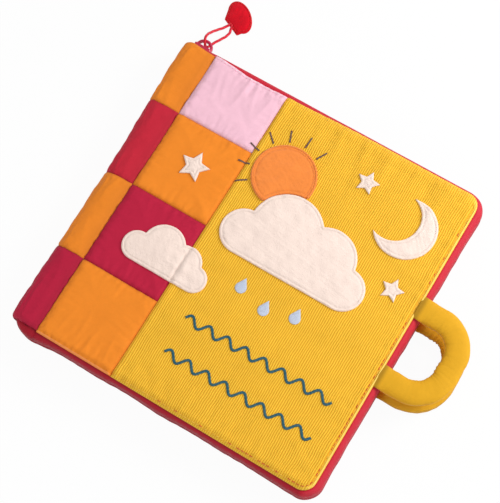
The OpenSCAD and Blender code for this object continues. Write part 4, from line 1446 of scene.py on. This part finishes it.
def stitch_line(name, path, finish, body, slot, long, gap, thick, keep=None, wander=0.0, seed=1):
    """A run of stitches along a path of points on the cloth, each a small arched thread"""
    run = run_along(path)
    rng = np.random.RandomState(seed)
    points, faces = [], []
    angles = np.linspace(0, TWO_PI, STITCH_SIDES, endpoint=False)
    for k in range(int(run[-1] / (long + gap))):
        drift = rng.uniform(-wander, wander)
        skip = rng.uniform()
        if keep is not None and not keep(k, skip):
            continue
        start = k * (long + gap) + gap / 2
        faces += tube_faces(len(STITCH_RINGS), STITCH_SIDES, len(points))
        for t, size, lift in STITCH_RINGS:
            p, q = (spots_at(start + t * long + on, run, path) for on in (0, 0.05))
            ahead = (q - p) / (np.linalg.norm(q - p) + 1e-12)
            side = np.cross(ahead, [0, 0, 1.0])
            side /= np.linalg.norm(side) + 1e-12
            up = np.cross(side, ahead)
            middle = p + up * (thick * 0.35 * lift) + side * drift * (t - 0.5)
            for a in angles:
                points.append(middle + thick / 2 * size * (math.cos(a) * side + math.sin(a) * up))
    return piece(name, points, faces, finish, body, slot=slot)


def on_cloth(xy, lift):
    """Points that far above the front cover's cloth"""
    x, y = xy.T
    return np.column_stack([x, y + edge_reach(x, y), cover_height(x, y) + lift])


def cover_edge_path(inset):
    """A line inside the cover's rim, from the head end of the corduroy's seam round to its tail end"""
    run = round_three_sides(PANEL_X, FORE_X - inset, HEAD_Y - inset, CORNER_R - inset, 0.8, 20)
    return np.array(run)[:-1, :2]


def red_shows(k, chance):
    """Where the red thread works through: in runs along the lower fore edge and the tail's outer half"""
    return bump(k - 105, 34) * (0.75 + 0.35 * math.sin(k * 0.45)) > chance


# Sewn-on pieces

def on_cover(outline, x, y):
    """An outline moved to its place on the cover, measured from the seam and from the tail"""
    return np.asarray(outline, float) + np.array([SEAM_X + x, y - HEAD_Y])


def union_of_lobes(lobes, foot, let_out=0.0):
    """Outline of round lobes on a flat foot (left, tail, width, height), seen from the foot's middle"""
    centre = np.array([foot[0] + foot[2] / 2, foot[1] + foot[3] / 2])
    low_corner = np.array([foot[0], foot[1] - let_out]) - centre
    high_corner = np.array([foot[0] + foot[2], foot[1] + foot[3]]) - centre
    points = []
    for a in np.linspace(0, TWO_PI, 720, endpoint=False):
        ray = np.array([math.cos(a), math.sin(a)])
        sides = [(hi if way > 0 else lo) / way
                 for lo, hi, way in zip(low_corner, high_corner, ray) if abs(way) > 1e-9]
        far = max(0.0, min(sides))
        for cx, cy, r in lobes:
            away = np.array([cx, cy]) - centre
            along = away @ ray
            spare = (r + let_out) ** 2 - (away @ away - along ** 2)
            if spare > 0:
                far = max(far, along + math.sqrt(spare))
        points.append(centre + far * ray)
    return evenly(np.array(points), CLOUD_STEP)


def from_gap(points):
    """A run of points, started after its widest gap"""
    gap = int(np.argmax(np.hypot(*(np.roll(points, -1, 0) - points).T)))
    return np.roll(points, -(gap + 1), 0)


def onward(first, second):
    """The second run, turned so that it starts where the first one ends"""
    to_start, to_end = (np.hypot(*(first[-1] - end)) for end in (second[0], second[-1]))
    return second[::-1] if to_start > to_end else second


CLOUD_STEP = 0.7
# Lobes as place and radius; feet as left, tail, width and height; places from the seam and the tail
LARGE_LOBES = [(-40, -4, 17), (-14, 12, 27), (20, 8, 23), (42, -5, 16)]
LARGE_FOOT = (-40, -21, 82, 20)
LARGE_PLACE = (128, 140)
SMALL_LOBES = [(-22, -3, 11), (-5, 6, 16), (14, 3, 13), (26, -4, 10)]
SMALL_FOOT = (-22, -14, 48, 12)
SMALL_PLACE = (50, 92)
SUN_PLACE = (92, 186)
SUN_R = 23
SUN_SEAM = 0.4
SUN_RAYS = 7
MOON_R = 23
MOON_PLACE = (186, 196)
STARS = (("large", "star_large", 12, (32, 160)), ("upper", "star_small_1", 9, (146, 212)),
         ("lower", "star_small_2", 9, (200, 152)))
DROP_PLACES = ((108, 100), (130, 94), (152, 100))
DROP_R = 4.2
DROP_H = 8
WAVES = (("upper", 62), ("lower", 34))
WAVE_X = 86
WAVE_L = 118
WAVE_PITCH = 14.75
WAVE_H = 6.5
WAVE_STEP = 0.6
PLUSH_T = 1.6
PLUSH_SEAM_IN = 2.2


def cloth_z(p):
    return cover_height(p[:, 0], p[:, 1])


def sewn_plush(name, outline, finish, node, slot, step, seed):
    """A plush piece: turned edge, stitched down just inside it, and a soft crowned middle"""

    def top(p, d):
        lift = PLUSH_T * (0.35 + 0.65 * np.sqrt(1 - np.clip(1 - d / 1.6, 0, 1) ** 2))
        nap = 0.1 * noise_at(p, 2.4, seed) + 0.12 * noise_at(p, 9, seed + 1)
        return cloth_z(p) + lift + 0.5 * smooth_step(d / 14) + nap + groove(d - PLUSH_SEAM_IN, 0.5, 0.5)

    def under(p, d):
        return cloth_z(p) - 0.45

    # Painted shade along the seam just inside the plush piece's edge
    mottled_crest_and_seam_shade = sewn_line(PLUSH_SEAM_IN, 0.5, 0.7)
    made = cut_out(name, outline, step, top, under, finish, "front_cover", tone=mottled_crest_and_seam_shade,
                   edge_rows=(0.2, 0.55, 1.1, 1.7, 2.2, 2.7), replaces=[node], slot=slot)


def star_outline(r):
    """Five points, with the corners between them half as far out"""
    out = []
    for i in range(10):
        far = r if i % 2 == 0 else r / 2
        c, s = heading(36 * i)
        out.append((far * s, far * c))
    return out


def moon_outline(r):
    """A crescent: the moon's own edge, then back along the edge of the shadow"""
    cx, cy, q = -r * 0.48, r * 0.2, r * 0.82
    edge = np.array(arc((0, 0), r, 0, 360, 361))[:-1]
    shade = np.array(arc((cx, cy), q, 0, 360, 361))[:-1]
    edge = from_gap(edge[np.hypot(edge[:, 0] - cx, edge[:, 1] - cy) > q])
    shade = onward(edge, from_gap(shade[np.hypot(*shade.T) < r]))
    return np.concatenate([edge, shade[1:-1]])


def drop_outline():
    return arc((0, 0), DROP_R, -200, 20, 26) + [(0, DROP_H)]


def wave_line(y):
    t = np.linspace(0, WAVE_L, round(WAVE_L / WAVE_STEP))
    return on_cover(np.stack([t, WAVE_H / 2 * np.sin(TWO_PI * t / WAVE_PITCH)], -1), WAVE_X, y)


def satin_ribbon(name, path, width, height, finish, node, slot):
    """A raised line of satin stitch along a path on the cloth"""
    surface = on_cloth(path, 0.12)
    side = np.gradient(surface, axis=0)
    side = np.stack([side[:, 1], -side[:, 0], 0 * side[:, 0]], -1)
    side /= np.linalg.norm(side, axis=1)[:, None]
    a = np.linspace(0, TWO_PI, 10, endpoint=False)
    rings = []
    for k, (p, n) in enumerate(zip(surface, side)):
        pull = 1 + 0.09 * math.sin(k * 2.6)
        rings.append([p + n * (width / 2 * pull * math.cos(b)) + np.array([0, 0, height * (0.2 + math.sin(b))])
                      for b in a])
    tube(name, rings, finish, "front_cover", replaces=[node] if node else (), slot=slot)


# Operators

def finish_book():
    """All the finishes, made once"""
    h = hues()
    return {
        "pink": woven_cotton("pink_cotton", h.pink, seam_dark=0.3),
        "orange": woven_cotton("orange_cotton", h.orange),
        "crimson": woven_cotton("crimson_cotton", h.crimson),
        "red": woven_cotton("red_cotton", h.red),
        "band": woven_cotton("band_cotton", h.band, sheen=0.1, seam_dark=0.8),
        "cream": woven_cotton("cream_cotton", h.cream, seam_dark=0.2, mottling=0.35),
        "wadding": plush_cloth("wadding", h.wadding),
        "corduroy": corduroy_cloth("yellow_corduroy", h.corduroy, h.corduroy_valley),
        "tape": zip_tape_cloth("zip_tape", h.tape),
        "coil": nylon_coil("zip_coil", h.coil),
        "enamel": slider_enamel("slider_enamel", h.enamel),
        "cord": twisted_cord("pull_cord", h.cord),
        "velour": plush_cloth("red_velour", h.velour, sheen=0.12, nap_mm=0.4, swept=0.45),
        "peach": plush_cloth("peach_plush", h.peach),
        "sun": plush_cloth("orange_plush", h.sun),
        "brown": satin_thread("brown_thread", h.brown),
        "teal": satin_thread("teal_thread", h.teal),
        "satin": satin_thread("pale_satin", h.satin),
        "stitch": sewing_thread("topstitch", h.stitch),
        "stitch_red": sewing_thread("red_topstitch", h.stitch_red),
        "stitch_pink": sewing_thread("pink_topstitch", h.stitch_pink),
        "stitch_orange": sewing_thread("orange_topstitch", h.stitch_orange),
    }


FINISHES = {}
FLOOR_HALF = 3000
FLOOR_Z = -0.05


class CLOTHBOOK_OT_stage(bpy.types.Operator):
    """Set the camera, the lamps and the pale floor"""

    bl_idname = "cloth_book.stage"
    bl_label = "Stage"

    def execute(self, context):
        scene = context.scene
        scene.view_settings.view_transform = "Standard"
        lens = bpy.data.cameras.new("camera")
        lens.sensor_width = SENSOR_MM
        lens.lens = CAMERA_FOCAL_PX * SENSOR_MM / IMAGE_LONG_SIDE_PX
        lens.clip_start = 0.05
        lens.clip_end = 20
        camera = linked("camera", lens)
        turn = Matrix((CAMERA_RIGHT, CAMERA_UP, CAMERA_BACK)).transposed().to_4x4()
        camera.matrix_world = Matrix.Translation(CAMERA_PLACE) @ turn
        scene.camera = camera
        stage = scene.cloth_book_stage
        self.lamp("key", stage.key, *KEY_LAMP)
        self.lamp("fill", stage.fill, *FILL_LAMP)
        self.world(scene, stage.sky)
        self.floor()
        return {"FINISHED"}

    def lamp(self, name, power, place, size):
        light = bpy.data.lights.new(name, "AREA")
        light.energy = power
        light.size = size
        lamp = linked(name, light)
        lamp.location = place
        lamp.rotation_mode = "QUATERNION"
        lamp.rotation_quaternion = (-Vector(place)).to_track_quat("-Z", "Y")

    def world(self, scene, level):
        world = bpy.data.worlds.new("studio")
        scene.world = world
        world.use_nodes = True
        tree = world.node_tree
        tree.nodes.clear()
        path = tree.nodes.new("ShaderNodeLightPath")
        mix = tree.nodes.new("ShaderNodeMixShader")
        end = tree.nodes.new("ShaderNodeOutputWorld")
        tree.links.new(path.outputs["Is Camera Ray"], mix.inputs[0])
        for k, strength in ((1, level), (2, 1.0)):
            white = tree.nodes.new("ShaderNodeBackground")
            white.inputs["Color"].default_value = (1, 1, 1, 1)
            white.inputs["Strength"].default_value = strength
            tree.links.new(white.outputs[0], mix.inputs[k])
        tree.links.new(mix.outputs[0], end.inputs["Surface"])

    def floor(self):
        f = Finish("pale_floor")
        path = f.add("ShaderNodeLightPath")
        node = path.socket.node
        seen = Wire(f, node.outputs["Is Camera Ray"]) + Wire(f, node.outputs["Is Glossy Ray"])
        seen = (seen + Wire(f, node.outputs["Is Transmission Ray"])).limited()
        plain = f.add("ShaderNodeBsdfDiffuse", values={"Color": (0.86, 0.86, 0.86, 1)})
        white = f.add("ShaderNodeEmission", values={"Color": (1, 1, 1, 1), "Strength": 1.0})
        f.add_output(f.add("ShaderNodeMixShader", values={0: seen * 0.95, 1: plain, 2: white}))
        corners = [(x * FLOOR_HALF, y * FLOOR_HALF, FLOOR_Z) for x, y in ((-1, -1), (1, -1), (1, 1), (-1, 1))]
        mesh = bpy.data.meshes.new("floor")
        mesh.from_pydata([tuple(c * MM for c in p) for p in corners], [], [(0, 1, 2, 3)])
        mesh.materials.append(f.material)
        made = linked("floor", mesh)


class CLOTHBOOK_OT_pull(bpy.types.Operator):
    """Make the slider, its cord and the velour tab"""

    bl_idname = "cloth_book.pull"
    bl_label = "Slider and Pull"

    def execute(self, context):
        FINISHES.update(finish_book())
        softened("enamelled_slider", "zip_slider", 0.35, FINISHES["enamel"], "slider")
        tabs = tab_layers(FINISHES["velour"])
        pull_cord(FINISHES["cord"])
        rim = tab_outline()
        middle = rim.mean(0)
        inner = middle + (evenly(rim, 0.6) - middle) * 0.88
        path = np.column_stack([inner, np.full(len(inner), TAB_LAYER + 0.95)])
        stitch_line("tab_stitches", path, FINISHES["stitch_red"], "slider", "red_velour", 1.8, STITCH_GAP, 0.4)
        return {"FINISHED"}


class CLOTHBOOK_OT_settle(bpy.types.Operator):
    """Let the patches and the corduroy settle between their seams, by cloth simulation"""

    bl_idname = "cloth_book.settle"
    bl_label = "Settle the Cloth"

    def execute(self, context):
        for i in range(4):
            height = np.diff(patch_ends(i))[0]
            edges = (0.25, 0.25, 1.0 if i == 3 else 0.25, 0.8 if i == 0 else 0.25)
            self.keep(f"patch_{i + 1}", PATCH_W, height, 1.25, edges, 0.12, 0.05, 201 + i)
            edges = (0.35, 0.3, 1.0 if i == 3 else 0.7, 0.5 if i == 0 else 0.7)
            self.keep(f"spine_{i + 1}", SPINE_ROUND, height, 1.25, edges, 0.12, 0.05, 211 + i)
        self.keep("panel", FORE_X - PANEL_X, 2 * HEAD_Y, 2.5, (0.3, 0.6, 0.7, 0.7), 0.08, 1.0, 221)
        return {"FINISHED"}

    def keep(self, name, width, height, step, edges, growth, bending, seed):
        z = gathered_sheet(width, height, step, edges, growth, bending, seed)
        SETTLED[name] = ((width / (z.shape[1] - 1), height / (z.shape[0] - 1)), z)


class CLOTHBOOK_OT_covers(bpy.types.Operator):
    """Sew the patches, the corduroy and the linings of both covers"""

    bl_idname = "cloth_book.covers"
    bl_label = "Covers"

    def execute(self, context):
        f = FINISHES
        front_patches(f)
        corduroy_panel("corduroy_front", PANEL_X, 1, 118, f["corduroy"], "front_cover", ["front_panel"])
        corduroy_panel("corduroy_back", SEAM_X, -1, 60, f["corduroy"], "book_back", ["back_panel"])
        cover_lining("front_cover_lining", "front_lining", 1, f["cream"], "front_cover")
        cover_lining("back_cover_lining", "back_lining", -1, f["cream"], "book_back")
        cover_wadding("front_cover_wadding", "front_wadding", f["wadding"], "front_cover")
        cover_wadding("back_cover_wadding", "back_wadding", f["wadding"], "book_back")
        return {"FINISHED"}


class CLOTHBOOK_OT_spine(bpy.types.Operator):
    """Sew the four patches of the spine"""

    bl_idname = "cloth_book.spine"
    bl_label = "Spine"

    def execute(self, context):
        spine_patches(FINISHES)
        return {"FINISHED"}


class CLOTHBOOK_OT_pages(bpy.types.Operator):
    """Bind the padded cloth pages"""

    bl_idname = "cloth_book.pages"
    bl_label = "Pages"

    def execute(self, context):
        page_leaves(FINISHES["cream"])
        return {"FINISHED"}


class CLOTHBOOK_OT_zip(bpy.types.Operator):
    """Set the zip's tapes, coils and stop round three sides"""

    bl_idname = "cloth_book.zip"
    bl_label = "Zip"

    def execute(self, context):
        f = FINISHES
        runs = (
            ("front", zip_path(ZIP_STEP), 1, "front_cover"),
            ("back", zip_path(ZIP_STEP, head=True, tail=True), -1, "book_back"),
            ("head", zip_path(ZIP_STEP, head=True, cover=False), 1, "book_back"),
            ("tail", zip_path(ZIP_STEP, cover=False, tail=True), 1, "book_back"),
        )
        for name, path, side, body in runs:
            zip_tape(f"{name}_zip_tape", path, side, f["tape"], body, [f"zip_tape_{name}"])
        for name, path, side, body in runs:
            zip_coil(f"{name}_zip_coil", path, side, f["coil"], body, [f"zip_coil_{name}"])
        softened("end_stop", "zip_stop", 0.3, f["enamel"], "book_back")
        return {"FINISHED"}


class CLOTHBOOK_OT_loops(bpy.types.Operator):
    """Stuff and sew the two carrying loops"""

    bl_idname = "cloth_book.loops"
    bl_label = "Carrying Loops"

    def execute(self, context):
        carrying_loop("front_carrying_loop", 1, FINISHES["band"], "front_cover", "loop_front")
        carrying_loop("back_carrying_loop", -1, FINISHES["band"], "book_back", "loop_back")
        return {"FINISHED"}


class CLOTHBOOK_OT_topstitch(bpy.types.Operator):
    """Run the topstitch round the front cover and along the seams"""

    bl_idname = "cloth_book.topstitch"
    bl_label = "Topstitch"

    def execute(self, context):
        f = FINISHES
        inset, long = chosen("stitch_inset"), chosen("stitch_length")
        u = np.linspace(SEAM_X + 1, PANEL_X - 1, 90)
        edge = on_cloth(cover_edge_path(inset), -0.15)
        head = on_cloth(np.column_stack([u, np.full(90, HEAD_Y - inset)]), -0.02)
        head[:, 1] += head_pull(*head.T)[1]
        tail = on_cloth(np.column_stack([u, np.full(90, inset - HEAD_Y)]), -0.05)
        runs = (("edge_topstitch", edge, "stitch", "gold_cotton", 0.42, 5),
                ("pink_topstitch", head, "stitch_pink", "pink_cotton", 0.45, 7),
                ("orange_topstitch", tail, "stitch_orange", "orange_cotton", 0.45, 8))
        for name, path, thread, slot, thick, seed in runs:
            stitch_line(name, path, f[thread], "front_cover", slot, long, STITCH_GAP, thick,
                        wander=0.15, seed=seed)
        red = on_cloth(cover_edge_path(inset + 0.3), 0.02)
        stitch_line("red_edge_topstitch", red, f["stitch_red"], "front_cover", "red_velour", long, STITCH_GAP,
                    0.5, keep=red_shows, wander=0.2, seed=6)
        return {"FINISHED"}


class CLOTHBOOK_OT_applique(bpy.types.Operator):
    """Sew on the clouds, sun, moon, stars, raindrops and waves"""

    bl_idname = "cloth_book.applique"
    bl_label = "Sewn-on Pieces"

    def execute(self, context):
        f = FINISHES
        large = on_cover(union_of_lobes(LARGE_LOBES, LARGE_FOOT), *LARGE_PLACE)
        small = on_cover(union_of_lobes(SMALL_LOBES, SMALL_FOOT), *SMALL_PLACE)
        sewn_plush("plush_cloud_large", large, f["peach"], "cloud_large", "peach_plush", 1.1, 101)
        sewn_plush("plush_cloud_small", small, f["peach"], "cloud_small", "peach_plush", 1.0, 111)
        self.sun(f)
        moon = on_cover(moon_outline(MOON_R), *MOON_PLACE)
        sewn_plush("plush_moon", moon, f["peach"], "moon", "peach_plush", 0.9, 121)
        for name, node, r, place in STARS:
            star = on_cover(star_outline(r), *place)
            sewn_plush(f"plush_star_{name}", star, f["peach"], node, "peach_plush", 0.7, 131)
        for i, place in enumerate(DROP_PLACES):
            self.drop(f, i + 1, on_cover(drop_outline(), *place))
        for name, y in WAVES:
            satin_ribbon(f"{name}_waves", wave_line(y), 1.9, 0.5, f["teal"], f"wave_row_{name}", "teal_thread")
        return {"FINISHED"}

    def sun(self, f):
        """The disc, cut along the large cloud's edge, its satin edge and its rays"""
        circle = on_cover(arc((0, 0), SUN_R, 0, 360, 361)[:-1], *SUN_PLACE)
        cloud = on_cover(union_of_lobes(LARGE_LOBES, LARGE_FOOT, SUN_SEAM), *LARGE_PLACE)
        rim = from_gap(circle[inside_distance(circle, cloud) < 0])
        cut = onward(rim, from_gap(cloud[inside_distance(cloud, circle) > 0]))
        outline = np.concatenate([rim, cut])
        sewn_plush("plush_sun", outline, f["sun"], "sun_disc", "orange_plush", 0.9, 141)
        satin_ribbon("sun_edge", rim[2:-2], 2.0, 1.5, f["sun"], None, "orange_plush")
        for i, a in enumerate(np.linspace(60, 215, SUN_RAYS)):
            line = on_cover(np.outer(np.linspace(SUN_R + 3.5, SUN_R + 12.5, 14), heading(a)), *SUN_PLACE)
            satin_ribbon(f"sun_ray_{i + 1}", line, 1.2, 0.4, f["brown"], "sun_rays", "brown_thread")

    def drop(self, f, number, outline):
        def top(p, d):
            return cloth_z(p) + 0.25 + 0.6 * np.sqrt(np.clip(d / 2.2, 0, 1))

        def under(p, d):
            return cloth_z(p) - 0.4

        cut_out(f"satin_drop_{number}", outline, 0.5, top, under, f["satin"], "front_cover",
                replaces=[f"raindrop_{number}"], slot="pale_satin")


STEPS = (
    CLOTHBOOK_OT_stage, CLOTHBOOK_OT_pull, CLOTHBOOK_OT_settle, CLOTHBOOK_OT_covers, CLOTHBOOK_OT_spine,
    CLOTHBOOK_OT_pages, CLOTHBOOK_OT_zip, CLOTHBOOK_OT_loops, CLOTHBOOK_OT_topstitch, CLOTHBOOK_OT_applique,
)


class CLOTHBOOK_PT_panel(bpy.types.Panel):
    """Lists the steps that sew the cloth book"""

    bl_idname = "CLOTHBOOK_PT_panel"
    bl_label = "Cloth Book"
    bl_space_type = "VIEW_3D"
    bl_region_type = "UI"
    bl_category = "Cloth Book"

    def draw(self, context):
        for step in STEPS:
            self.layout.operator(step.bl_idname)


CLASSES = (ClothBookColours, ClothBookSizes, ClothBookStage, *STEPS, CLOTHBOOK_PT_panel)


def register():
    for item in CLASSES:
        bpy.utils.register_class(item)
    bpy.types.Scene.cloth_book_colours = bpy.props.PointerProperty(type=ClothBookColours)
    bpy.types.Scene.cloth_book_sizes = bpy.props.PointerProperty(type=ClothBookSizes)
    bpy.types.Scene.cloth_book_stage = bpy.props.PointerProperty(type=ClothBookStage)


def unregister():
    del bpy.types.Scene.cloth_book_stage
    del bpy.types.Scene.cloth_book_sizes
    del bpy.types.Scene.cloth_book_colours
    for item in reversed(CLASSES):
        bpy.utils.unregister_class(item)


def main():
    register()
    bpy.ops.cloth_book.stage()
    bpy.ops.cloth_book.pull()
    bpy.ops.cloth_book.settle()
    bpy.ops.cloth_book.covers()
    bpy.ops.cloth_book.spine()
    bpy.ops.cloth_book.pages()
    bpy.ops.cloth_book.zip()
    bpy.ops.cloth_book.loops()
    bpy.ops.cloth_book.topstitch()
    bpy.ops.cloth_book.applique()


if __name__ == "__main__":
    main()
